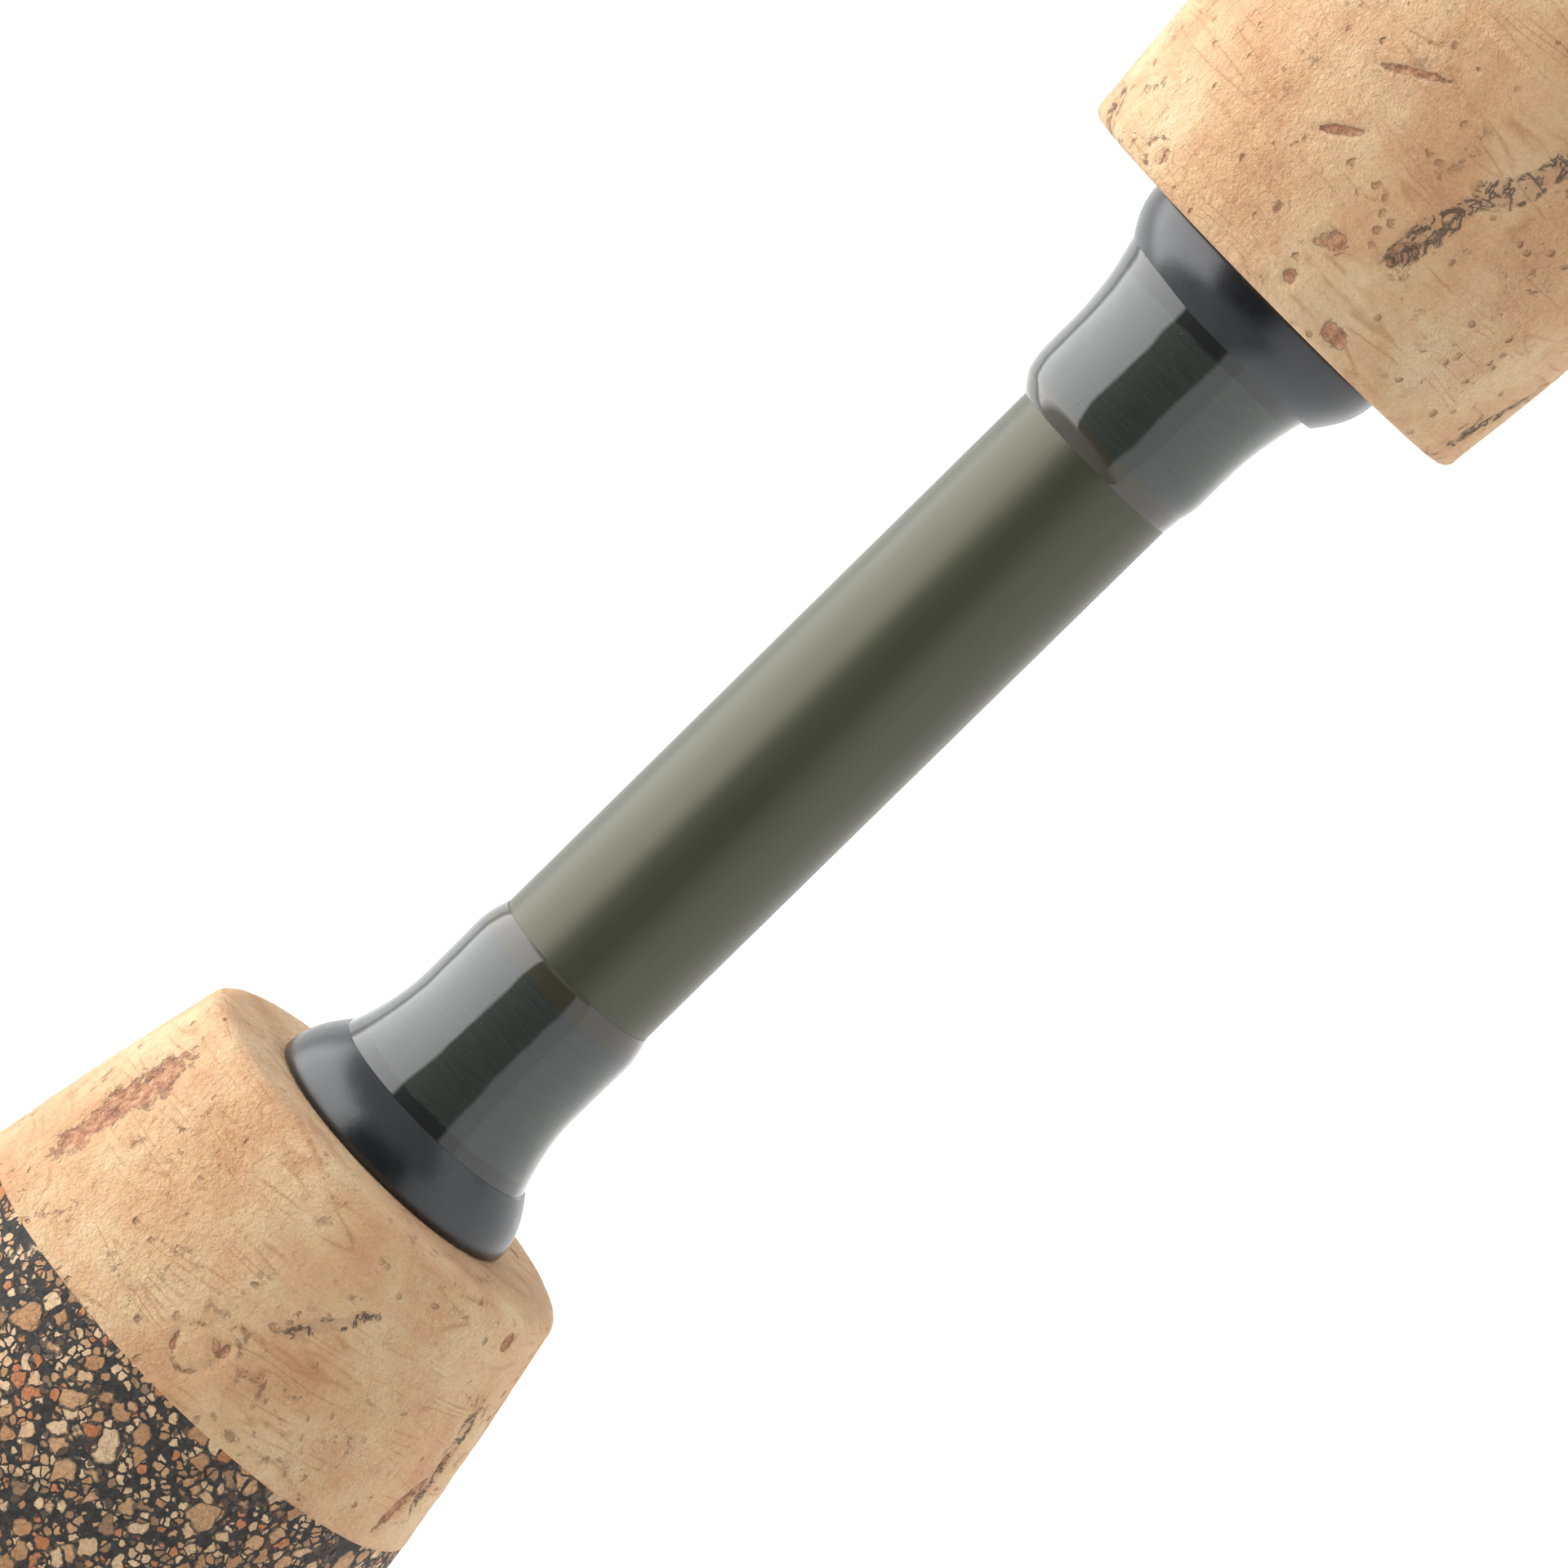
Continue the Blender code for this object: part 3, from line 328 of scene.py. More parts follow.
class Shade(Tree):
    """A Principled material with short calls for the patterns that feed it."""

    def __init__(self, name, slot, colour=(0.5, 0.5, 0.5), rough=0.5, metal=0.0, ior=1.5, coat=0.0,
                 coat_rough=0.03, coat_ior=1.5, sheen=0.0):
        self.material = bpy.data.materials.new(name)
        super().__init__(self.material)
        self.shader = self.nodes["Principled BSDF"]
        settings = {"Base Color": (*colour, 1), "Roughness": rough, "Metallic": metal, "IOR": ior,
                    "Coat Weight": coat, "Coat Roughness": coat_rough, "Coat IOR": coat_ior,
                    "Sheen Weight": sheen}
        for key, value in settings.items():
            self.shader.inputs[key].default_value = value
        self.place = self.nodes.new("ShaderNodeTexCoord").outputs["Object"]

    def scaled(self, scale):
        """The object's own coordinates, stretched by a scale for each axis."""
        return self.node("Mapping", {"Vector": self.place, "Scale": scale}).outputs["Vector"]

    def noise(self, size, detail=3.0, rough=0.5, stretch=(1, 1, 1), distortion=0.0):
        """Noise whose lumps are about size metres across, longer where stretch is above 1."""
        vector = self.scaled(tuple(1 / s for s in stretch))
        return self.node("TexNoise", {"Vector": vector, "Scale": 1 / size, "Detail": detail,
                                      "Roughness": rough, "Distortion": distortion}).outputs["Fac"]

    def bent(self, size, amount):
        """Coordinates pushed about by noise, so that what uses them loses its straight edges."""
        push = self.node("TexNoise", {"Vector": self.place, "Scale": 1 / size, "Detail": 2.0})
        half = (0.5, 0.5, 0.5)
        offset = self.node("VectorMath", {0: push.outputs["Color"], 1: half}, operation="SUBTRACT")
        scaled = self.node("VectorMath", {0: offset.outputs[0], "Scale": amount}, operation="SCALE")
        return self.node("VectorMath", {0: self.place, 1: scaled.outputs[0]}, operation="ADD").outputs[0]

    def voronoi(self, size, feature="F1", vector=None):
        return self.node("TexVoronoi", {"Vector": vector or self.place, "Scale": 1 / size}, feature=feature)

    def attribute(self, name):
        return self.node("Attribute", attribute_name=name).outputs["Fac"]

    def bump(self, height, depth, strength=1.0, under=None):
        inputs = {"Height": height, "Distance": depth, "Strength": strength}
        if under is not None:
            inputs["Normal"] = under
        return self.node("Bump", inputs).outputs["Normal"]

    def feed(self, **sockets):
        names = {"colour": "Base Color", "rough": "Roughness", "normal": "Normal",
                 "coat_normal": "Coat Normal"}
        for key, socket in sockets.items():
            self.links.new(socket, self.shader.inputs[names[key]])
        return self.material


def natural_cork():
    """Dry cork: pale tan in thin wavy layers, with brown flecks, fine cracks darkened with painted shade,
    and a sanded skin.
    """
    s = Shade("natural_cork", "cork", rough=0.9, ior=1.38, sheen=0.12)
    broad = s.noise(0.005, 4, 0.6, stretch=(1.3, 1, 1))
    base = s.ramp(broad, [(0.28, (0.63, 0.345, 0.18)), (0.45, (0.72, 0.435, 0.238)),
                          (0.60, (0.79, 0.535, 0.315)), (0.75, (0.845, 0.63, 0.40))])
    layers = s.noise(0.0022, 5, 0.62, stretch=(0.38, 1.5, 1.5), distortion=0.6)
    base = s.mix(0.5, base, s.ramp(layers, [(0.3, (0.40, 0.40, 0.40)), (0.52, (0.55, 0.54, 0.52)),
                                            (0.75, (0.66, 0.62, 0.58))]), "OVERLAY")
    grain = s.noise(0.00016, 4, 0.75)
    base = s.mix(0.5, base, s.ramp(grain, [(0.28, (0.24, 0.20, 0.18)), (0.5, (0.5, 0.5, 0.5)),
                                           (0.72, (0.74, 0.74, 0.74))]), "SOFT_LIGHT")
    crumbs = s.noise(0.0007, 5, 0.75, distortion=0.3)
    edges = s.minus(s.noise(0.0009, 6, 0.75, distortion=0.4), 0.5)
    patches = s.fade(s.noise(0.0024, 3, 0.6), 0.46, 0.60)
    rings = s.noise(0.0060, 0.5, 0.4, stretch=(0.24, 1.5, 1.5), distortion=0.25)
    rings = s.plus(rings, s.times(edges, 0.05))
    line = 0.0
    for level in (0.38, 0.50, 0.62):
        off = s.apart(rings, level)
        line = s.math("MAXIMUM", s.fade(off, 0.0, 0.022, 1.0, 0.0), line)
    line = s.times(line, patches)
    base = s.mix(s.times(line, 0.6), base, (0.52, 0.25, 0.11))
    torn_zone = s.fade(s.noise(0.0036, 3, 0.5), 0.53, 0.64)
    split = s.times(s.fade(crumbs, 0.32, 0.42, 1.0, 0.0), torn_zone)
    base = s.mix(s.times(split, 0.6), base, (0.36, 0.16, 0.07))
    fleck = s.noise(0.0004, 5, 0.75, distortion=0.8)
    base = s.mix(s.fade(fleck, 0.66, 0.74, 0.0, 0.6), base, (0.33, 0.14, 0.075))
    pits = s.voronoi(0.00062, vector=s.bent(0.0004, 0.0004))
    chosen = s.node("SeparateColor", {"Color": pits.outputs["Color"]}).outputs["Red"]
    pit = s.fade(pits.outputs["Distance"], 0.14, 0.32, 1.0, 0.0)
    pit = s.times(pit, s.fade(chosen, 0.80, 0.92))
    base = s.mix(s.times(pit, 0.55), base, (0.42, 0.19, 0.09))
    hollow = s.plus(s.attribute("hollow"), s.times(edges, 2.6))
    inside = s.ramp(s.noise(0.0005, 5, 0.75), [(0.35, (0.17, 0.062, 0.035)), (0.5, (0.50, 0.22, 0.12)),
                                               (0.65, (0.74, 0.44, 0.25))])
    hollow = s.fade(hollow, 0.48, 0.62, 0.0, 0.85)
    base = s.mix(hollow, base, inside)
    veins = s.noise(0.0012, 5, 0.65, distortion=0.9)
    vein = s.fade(s.apart(veins, 0.5), 0.012, 0.04, 1.0, 0.0)
    zone = s.fade(s.plus(s.attribute("crack"), edges), 0.2, 0.42)
    base = s.mix(s.times(zone, 0.35), base, (0.46, 0.27, 0.15))
    # The cracks are real shallow dips in the bump, and their near-black grey colour is painted shade inside
    # them.
    crack = s.times(vein, zone)
    base = s.mix(s.times(crack, 0.85), base, (0.10, 0.08, 0.062))
    skin = s.plus(s.times(s.noise(0.00013, 3, 0.8), 0.75),
                  s.times(s.noise(0.0008, 5, 0.7), 0.9))
    height = s.plus(skin, s.times(s.noise(0.00034, 3, 0.6), 1.1))
    height = s.minus(height, s.plus(s.times(split, 1.1), s.times(pit, 1.2)))
    height = s.minus(height, s.times(line, 0.15))
    height = s.plus(height, s.times(s.times(crumbs, torn_zone), 0.8))
    height = s.minus(height, s.plus(crack, s.times(hollow, 0.8)))
    return s.feed(colour=base, normal=s.bump(height, 0.00022, 0.9))


def burl_cork():
    """Chips of cork pressed in a dark binder and sanded flush."""
    s = Shade("burl_cork", "burl", rough=0.85, ior=1.4, sheen=0.1)
    binder = s.fade(s.noise(0.0003, 5, 0.7), 0.35, 0.7, (0.022, 0.022, 0.021), (0.075, 0.068, 0.060))
    tints = [(0.0, (0.70, 0.42, 0.22)), (0.2, (0.84, 0.56, 0.32)), (0.42, (0.60, 0.33, 0.16)),
             (0.6, (0.90, 0.64, 0.39)), (0.78, (0.66, 0.26, 0.11)), (0.88, (0.42, 0.25, 0.14))]
    colour = binder
    height = s.times(s.noise(0.00018, 5, 0.8), 0.6)
    for size, edge, share in ((0.00044, 0.075, 0.10), (0.00078, 0.062, 0.50), (0.0013, 0.05, 0.86)):
        vector = s.bent(size * 0.6, size * 0.62)
        wall = s.voronoi(size, "DISTANCE_TO_EDGE", vector).outputs["Distance"]
        cell = s.voronoi(size, "F1", vector)
        parts = s.node("SeparateColor", {"Color": cell.outputs["Color"]})
        inside = s.fade(wall, edge, edge + 0.04)
        kept = s.fade(parts.outputs["Green"], share, share + 0.02)
        rim = s.fade(cell.outputs["Distance"], 0.50, 0.60, 1.0, 0.0)
        colour = s.mix(s.times(kept, 0.85), colour, binder)
        mask = s.times(s.times(inside, kept), rim)
        tone = s.ramp(parts.outputs["Red"], tints, "CONSTANT")
        speck = s.fade(s.noise(0.00022, 5, 0.75), 0.3, 0.6, (0.45, 0.40, 0.36), (1.0, 1.0, 1.0))
        colour = s.mix(mask, colour, s.mix(0.75, tone, speck, "MULTIPLY"))
        height = s.plus(height, s.times(mask, 0.45))
    return s.feed(colour=colour, normal=s.bump(height, 0.00018, 0.9))


def satin_blank():
    """Unpainted graphite, sanded and sealed: a soft sheen over a dark grey-olive."""
    s = Shade("satin_blank", "blank", rough=0.36, ior=1.6)
    s.shader.inputs["Specular Tint"].default_value = (1.0, 0.99, 0.82, 1)
    tone = s.fade(s.noise(0.002, 5, 0.6, stretch=(8, 1, 1)), 0.3, 0.7,
                  (0.036, 0.040, 0.024), (0.050, 0.054, 0.033))
    fine = s.noise(0.00012, 4, 0.7)
    rough = s.fade(s.noise(0.0012, 4, stretch=(6, 1, 1)), 0.2, 0.8, 0.32, 0.40)
    return s.feed(colour=tone, rough=rough, normal=s.bump(fine, 0.00001, 0.35))


def winding_check_metal():
    """Blue-black satin aluminium with faint turning marks."""
    s = Shade("winding_check_satin", "check", rough=0.24, ior=1.62)
    tone = s.fade(s.noise(0.0006, 5, 0.7), 0.3, 0.7, (0.006, 0.008, 0.011), (0.010, 0.013, 0.018))
    height = s.plus(s.noise(0.00011, 4, 0.7), s.times(s.noise(0.0005, 3), 0.5))
    rough = s.fade(s.noise(0.0009, 4), 0.25, 0.75, 0.20, 0.30)
    return s.feed(colour=tone, rough=rough, normal=s.bump(height, 0.00001, 0.5))


def wrap_under_epoxy(name, bare=None, bare_from=0.0, neck_to=0.0, way=1):
    """Fine thread wound side by side under a thick, glassy coat.

    bare is the colour past where the thread stops, and the black neck of a check shows up to neck_to.
    """
    s = Shade(name, "thread", rough=0.55, ior=1.3, coat=1.0, coat_rough=0.012, coat_ior=1.62)
    turns = s.noise(0.00009, 2, stretch=(1, 14, 14))
    wobble = s.noise(0.0005, 3, stretch=(0.3, 3, 3))
    thread = (0.022, 0.031, 0.026)
    dark = tuple(c * 0.55 for c in thread)
    light = tuple(c * 1.35 for c in thread)
    tone = s.mix(turns, dark, light)
    tone = s.mix(s.fade(wobble, 0.4, 0.75, 0.0, 0.5), tone, dark)
    if bare is not None:
        x = s.node("SeparateXYZ", {"Vector": s.place}).outputs["X"]
        edge = s.times(s.minus(s.noise(0.001, 2, stretch=(0.2, 1, 1)), 0.5), 0.0004)
        x = s.plus(x, edge)
        share = s.times(s.minus(x, bare_from), way / 0.00015, clamp=True)
        tone = s.mix(share, tone, bare)
        share = s.times(s.minus(x, neck_to), -way / 0.00012, clamp=True)
        tone = s.mix(share, tone, (0.003, 0.0035, 0.004))
    specks = s.fade(s.voronoi(0.0007).outputs["Distance"], 0.03, 0.06, 1.0, 0.0)
    wave = s.bump(s.noise(0.0016, 2, stretch=(2, 1, 1)), 0.00002, 0.5)
    wave = s.bump(specks, 0.00001, 0.6, wave)
    return s.feed(colour=tone, normal=s.bump(turns, 0.00003, 0.6), coat_normal=wave)


CORK = natural_cork()
BURL = burl_cork()
BLANK = satin_blank()
CHECK = winding_check_metal()


# ---- Shapes of the cork ----

def around(turn, angle_deg):
    """Signed angle from a place on the round, from -pi to pi."""
    return (turn - math.radians(angle_deg) + math.pi) % (2 * math.pi) - math.pi


HOLLOW_DEPTH = 0.00016
CRACK_DEPTH = 0.00008


def cork_skin(seed, lenticels=(), cracks=(), knots=()):
    """Surface of natural cork: soft swells, ragged hollows, and its own larger marks.

    A lenticel or cracked zone is (x, angle, half its length along the rod, half its width round it,
    slope); a knot is (x, angle, radius) and shows as a split round a plug.
    """
    def shape(points, along, turn, radius):
        x = points[:, 0]
        open_side = np.clip((radius - BLANK_R * 1.25) / 0.001, 0, 1)
        swell = value_noise(points, 0.0035, seed) * 0.00005
        swell += value_noise(points, 0.0011, seed + 1) * 0.00003
        swell += value_noise(points, 0.0004, seed + 2) * 0.000018
        ragged = value_noise(points, 0.0006, seed + 3) * 0.5 + value_noise(points, 0.00025, seed + 4) * 0.4
        holes, chance = cells_near(points, 0.0024, seed + 40, (1.3, 1, 1))
        size = 0.05 + 0.16 * np.clip((chance - 0.86) / 0.14, 0, 1)
        hollow = np.where(chance > 0.86, np.clip((size - holes + 0.06 * ragged) / 0.1, 0, 1), 0)
        crack = np.zeros(len(points))
        for place, angle, length, width, slope in lenticels:
            away = around(turn, angle) * radius - (x - place) * slope
            away = away + value_noise(points, 0.0015, seed + 61) * width * 0.5
            reach = np.hypot((x - place) / length, away / width)
            hollow = np.maximum(hollow, np.clip(1.35 - 0.7 * reach, 0, 1) * np.clip(2.2 - reach, 0, 1))
        for place, angle, length, width, slope in cracks:
            away = around(turn, angle) * radius - (x - place) * slope
            away = away + value_noise(points, 0.0013, seed + 60) * 0.0005
            within = np.clip(1.3 - np.abs(x - place) / length, 0, 1)
            crack = np.maximum(crack, np.clip(1.3 - np.abs(away) / width, 0, 1) * within)
        for place, angle, knot_r in knots:
            away = np.hypot(x - place, around(turn, angle) * radius)
            away = away + value_noise(points, 0.0012, seed + 70) * 0.00025
            broken = 0.62 + value_noise(points, 0.0007, seed + 71) * 0.35
            hollow = np.maximum(hollow, np.clip(1.0 - np.abs(away - knot_r) / 0.0003, 0, 1) * broken)
        push = swell - hollow * HOLLOW_DEPTH - crack * CRACK_DEPTH
        return push * open_side, {"hollow": hollow * open_side, "crack": crack * open_side}
    return shape


def marks(start, rows):
    """Lenticels or cracks: mm in front of a joint, angle, half length and half width in mm, slope."""
    return [(start + x * MM, angle, length * MM, width * MM, slope)
            for x, angle, length, width, slope in rows]


def flare(distance, length, face_r, far_r, power):
    """Radius at a distance behind a grip's end face, swelling to its fullest over a length."""
    return far_r - (far_r - face_r) * (1 - distance / length) ** power


GRIP_R_FACE = GRIP_R_MAX - 0.0043
GRIP_R_REAR = high("butt_cap")[2]


def butt_grip_radius(x):
    behind = GRIP_END - x
    if behind <= 3 * RING:
        return flare(behind, 3 * RING, GRIP_R_FACE, GRIP_R_MAX, 2.1)
    return GRIP_R_MAX - (GRIP_R_MAX - GRIP_R_REAR) * ((behind - 3 * RING) / (2 * RING)) ** 2


def rising_edge(start, full_r, edge, steps):
    """Points of a rounded edge, from a flat end face up to the full radius."""
    turns = [i / steps * math.pi / 2 for i in range(1, steps + 1)]
    return [(start + edge * (1 - math.cos(a)), full_r - edge * (1 - math.sin(a))) for a in turns]


def grip_section(start, end, radius_at, spacing, front_edge=0.0, rear_edge=0.0):
    """Section of a grip piece: bored for the blank, its ends rounded by the given amounts."""
    bore = BLANK_R + 0.00002
    rear, front = start + rear_edge, end - front_edge
    span = end - front_edge - start - rear_edge
    count = max(4, round(span / spacing))
    outline = resampled([(start, bore), (start, radius_at(start) - rear_edge)], FACE_SPACING)
    outline += rising_edge(start, radius_at(rear), rear_edge, 4)
    outline += [(rear + span * i / count, radius_at(rear + span * i / count)) for i in range(1, count + 1)]
    for i in range(1, 6):
        share = i / 5 * math.pi / 2
        outline.append((end - front_edge * (1 - math.sin(share)),
                        radius_at(front) - front_edge * (1 - math.cos(share)) * 1.1))
    return outline + resampled([(end, outline[-1][1]), (end, bore)], FACE_SPACING)[1:]


FACE_SPACING = 0.0006  # between points on a piece's flat ends
FINE_SPACING = 0.00013
FINE_SIDES = 640
SEAT_CORK_SPLIT = SEAT_CORK_START + 0.014  # a glue line between two of its rings

FRONT_LENTICELS = marks(GRIP_END, [(-5.6, 79, 3.1, 0.8, 0.04), (-4.1, 80, 1.4, 1.0, 0)])
FRONT_LENTICELS += marks(BURL_END, [(2.2, 200, 1.2, 0.3, 0.4), (3.0, 140, 0.3, 0.2, 0)])
FRONT_CRACKS = marks(BURL_END, [(6.7, 152, 1.6, 0.5, 0.8), (5.0, 205, 3.0, 0.4, -0.2)])
FRONT_KNOTS = [(BURL_END + 0.0023, 135, 0.00095)]
turned("front_cork_skin", grip_section(BURL_END, GRIP_END, butt_grip_radius, FINE_SPACING, 0.0008),
       CORK, "front_cork", sides=FINE_SIDES,
       shape=cork_skin(11, FRONT_LENTICELS, FRONT_CRACKS, FRONT_KNOTS))
turned("burl_cork_skin", grip_section(BURL_START, BURL_END, butt_grip_radius, FINE_SPACING * 2),
       BURL, "burl_cork", sides=360, shape=cork_skin(23))
turned("rear_cork_skin", grip_section(low("rear_cork")[0] - GAP / 2, BURL_START, butt_grip_radius, 0.0004),
       CORK, "rear_cork", sides=200, shape=cork_skin(31))


SEAT_CORK_R_FACE = 0.01055
SEAT_CORK_R_END = high("seat_cork")[2]


def seat_cork_radius(x):
    return flare(x - SEAT_CORK_START, 3 * RING, SEAT_CORK_R_FACE, SEAT_CORK_R_END, 2.25)


SEAT_LENTICELS = marks(SEAT_CORK_START, [(1.4, 136, 0.3, 0.25, 0), (3.6, 137, 0.5, 0.4, 0.4),
                                         (7.1, 122, 0.6, 0.3, 1.2), (10.8, 124, 0.7, 0.3, 1.6),
                                         (5.2, 149, 0.7, 0.4, 0.3), (1.0, 152, 0.4, 0.6, -0.6)])
SEAT_CRACKS = marks(SEAT_CORK_START, [(7.0, 151, 2.6, 0.6, 0.2), (11.2, 157, 2.6, 0.7, 0.3),
                                      (2.6, 208, 2.4, 0.4, 0.5), (0.8, 66, 1.0, 0.8, -0.9)])
SEAT_KNOTS = [(SEAT_CORK_START + 0.0010, 91, 0.0007)]
turned("seat_cork_rear", grip_section(SEAT_CORK_START, SEAT_CORK_SPLIT, seat_cork_radius, FINE_SPACING,
                                      rear_edge=0.0006),
       CORK, "seat_cork", sides=FINE_SIDES,
       shape=cork_skin(47, SEAT_LENTICELS, SEAT_CRACKS, SEAT_KNOTS))
turned("seat_cork_front", grip_section(SEAT_CORK_SPLIT, SEAT_START, seat_cork_radius, FINE_SPACING * 3),
       CORK, "seat_cork", sides=FINE_SIDES // 2, shape=cork_skin(47))


# ---- Winding checks, thread wraps and bare blank ----

CHECK_REACH = 0.0028  # of a check's neck, the end of which is under the epoxy
CHECK_FALL = 0.00112  # from its skirt to its neck


def check_section(base_r, bore):
    """A bell: rounded at the cork's face, full for a little way, then falling to a thin neck."""
    neck = base_r - CHECK_FALL
    edge = 0.00022
    section = [(0.0, bore), (0.0, base_r - edge)] + rising_edge(0.0, base_r, edge, 6)
    for i in range(1, 21):
        share = i / 20
        section.append((edge + (CHECK_REACH - edge) * share, base_r - (base_r - neck) * share ** 1.9))
    section.append((CHECK_REACH, bore))
    return section


def winding_check(node, base_x, way):
    turned(node + "_turned", check_section(high(node)[2], BLANK_R + 0.00003), CHECK, node,
           at=(base_x, 0, 0), toward=X_AXIS * way, sides=192)


NECK_COVER = 0.0010  # of black neck that shows through the epoxy
NECK_RUN = 0.0042  # over which the epoxy sinks from the neck to its plateau


def wrap_section(length, thick_r, plateau_r, taper):
    """Epoxy that starts on the check's neck, sinks to a plateau and tapers away on the blank."""
    bore = BLANK_R + 0.00001
    start = -0.0001
    section = [(start, bore), (start, thick_r - 0.0001)]
    for i in range(65):
        x = start + (length - start) * i / 64
        full = plateau_r + (thick_r - plateau_r) * max(0, 1 - (x - start) / NECK_RUN) ** 1.75
        end_fall = math.sin(min(1, (length - x) / taper) * math.pi / 2) ** 0.8
        near = 1 - 0.08 * math.exp(-(x - start) / 0.0001)
        section.append((x, bore + (full - bore) * end_fall * near + 0.00001))
    return section


def uneven_epoxy(seed, sag):
    """The epoxy sagged a little to one side as it set, and has soft waves in it."""
    def shape(points, along, turn, radius):
        loose = np.clip((radius - BLANK_R) / 0.0004, 0, 1)
        push = (points[:, 1] + points[:, 2]) / radius * sag
        push = push + value_noise(points, 0.0024, seed) * 0.00002
        push = push + value_noise(points, 0.0008, seed + 1) * 0.000006
        return push * loose, {}
    return shape


def grip_wrap(node, start, way, seed, plateau_r, taper, sag):
    end = high(node)[0] if way > 0 else low(node)[0]
    material = wrap_under_epoxy(node + "_epoxy", bare=(0.030, 0.027, 0.012), bare_from=end - way * 0.0011,
                                neck_to=start + way * NECK_COVER, way=way)
    neck_r = high("grip_check")[2] - CHECK_FALL + 0.00003
    turned(node + "_epoxied", wrap_section(abs(end - start), neck_r, plateau_r, taper), material, node,
           at=(start, 0, 0), toward=X_AXIS * way, sides=256, shape=uneven_epoxy(seed, sag))


winding_check("grip_check", GRIP_END, 1)
winding_check("seat_check", SEAT_CORK_START, -1)
winding_check("fore_check", FORE_END, 1)
grip_wrap("grip_wrap", high("grip_check")[0], 1, 71, plateau_r=0.00449, taper=0.0016, sag=0.00002)
grip_wrap("seat_wrap", low("seat_check")[0], -1, 83, plateau_r=0.00472, taper=0.0020, sag=0.00020)

blank_start, blank_end = low("butt_blank")[0], high("butt_blank")[0]
FERRULE_R = 0.003
WALL = 0.001
blank_outer = resampled([(blank_start, BLANK_R), (FORE_END, BLANK_R), (blank_end, FERRULE_R)], 0.02)
blank_inner = [(blank_end, FERRULE_R - WALL), (blank_start, BLANK_R - WALL)]
turned("butt_blank_tube", blank_outer + blank_inner, BLANK, "butt_blank", sides=128)


# ---- Materials of the rest ----

def butt_rubber():
    """Moulded rubber with a fine pebble grain and a little dust in it."""
    s = Shade("butt_rubber", "butt_rubber", rough=0.7, ior=1.5)
    cells = s.voronoi(0.0006, vector=s.bent(0.001, 0.0003)).outputs["Distance"]
    tone = s.fade(s.noise(0.004, 5, 0.6), 0.35, 0.7, (0.017, 0.017, 0.018), (0.034, 0.033, 0.032))
    rough = s.fade(s.noise(0.006, 4, 0.6), 0.3, 0.7, 0.62, 0.82)
    return s.feed(colour=tone, rough=rough, normal=s.bump(cells, 0.00012, 0.5))


def seat_graphite():
    """Woven graphite under a clear coat: twill squares that catch the light in turn."""
    s = Shade("seat_graphite", "seat", rough=0.4, coat=1.0, coat_rough=0.05, ior=1.6)
    parts = s.node("SeparateXYZ", {"Vector": s.place})
    turn = s.times(s.math("ARCTAN2", parts.outputs["Z"], parts.outputs["Y"]), 0.0087)
    along = s.math("FLOOR", s.math("DIVIDE", parts.outputs["X"], 0.0011))
    across = s.math("FLOOR", s.math("DIVIDE", turn, 0.0011))
    step = s.math("MODULO", s.plus(s.plus(along, across), 4000.0), 4.0)
    over = s.math("GREATER_THAN", step, 1.5)
    thread = s.noise(0.00015, 3, stretch=(6, 1, 1))
    tone = s.mix(over, (0.012, 0.012, 0.013), (0.050, 0.051, 0.054))
    tone = s.mix(s.times(thread, 0.4), tone, (0.02, 0.02, 0.021))
    rough = s.fade(over, 0.0, 1.0, 0.5, 0.3)
    return s.feed(colour=tone, rough=rough, normal=s.bump(over, 0.00003, 0.4))


def metal(name, slot, colour, rough, lines=(0.25, 6, 6), depth=0.000006, spread=0.12, grain=0.0003):
    """Metal with tool or blast marks, smudges where it is handled and a slightly uneven tint."""
    s = Shade(name, slot, colour, rough, metal=1.0)
    darker = tuple(c * 0.82 for c in colour)
    tint = s.mix(s.fade(s.noise(0.006, 5, 0.6), 0.35, 0.7), colour, darker)
    marks = s.noise(grain, 4, 0.7, stretch=lines)
    smudge = s.noise(0.008, 5, 0.65, distortion=0.5)
    level = s.plus(s.times(smudge, spread), s.times(marks, spread * 0.6))
    rough_out = s.plus(level, max(0.02, rough - spread * 0.8))
    return s.feed(colour=tint, rough=rough_out, normal=s.bump(marks, depth, 0.6))


def guide_ceramic():
    s = Shade("guide_ceramic", "ceramic", rough=0.1, ior=1.9)
    tone = s.fade(s.noise(0.001, 5, 0.6), 0.3, 0.7, (0.016, 0.016, 0.018), (0.032, 0.033, 0.037))
    rough = s.fade(s.noise(0.002, 4), 0.3, 0.7, 0.07, 0.16)
    return s.feed(colour=tone, rough=rough, normal=s.bump(s.noise(0.0004, 3), 0.000005, 0.5))


def reel_paint():
    """Black paint with fine flake under a clear coat that has a faint orange peel."""
    s = Shade("reel_paint", "reel_black", rough=0.42, metal=0.35, coat=1.0, coat_rough=0.06)
    flakes = s.voronoi(0.00014)
    chance = s.node("SeparateColor", {"Color": flakes.outputs["Color"]}).outputs["Red"]
    tone = s.ramp(chance, [(0.0, (0.012, 0.013, 0.015)), (0.8, (0.022, 0.024, 0.028)),
                           (0.95, (0.075, 0.08, 0.09))])
    wear = s.fade(s.noise(0.012, 5, 0.6), 0.3, 0.7, 0.36, 0.5)
    peel = s.bump(s.noise(0.0012, 2), 0.000012, 0.6)
    return s.feed(colour=tone, rough=wear, normal=s.bump(chance, 0.000004, 0.5), coat_normal=peel)


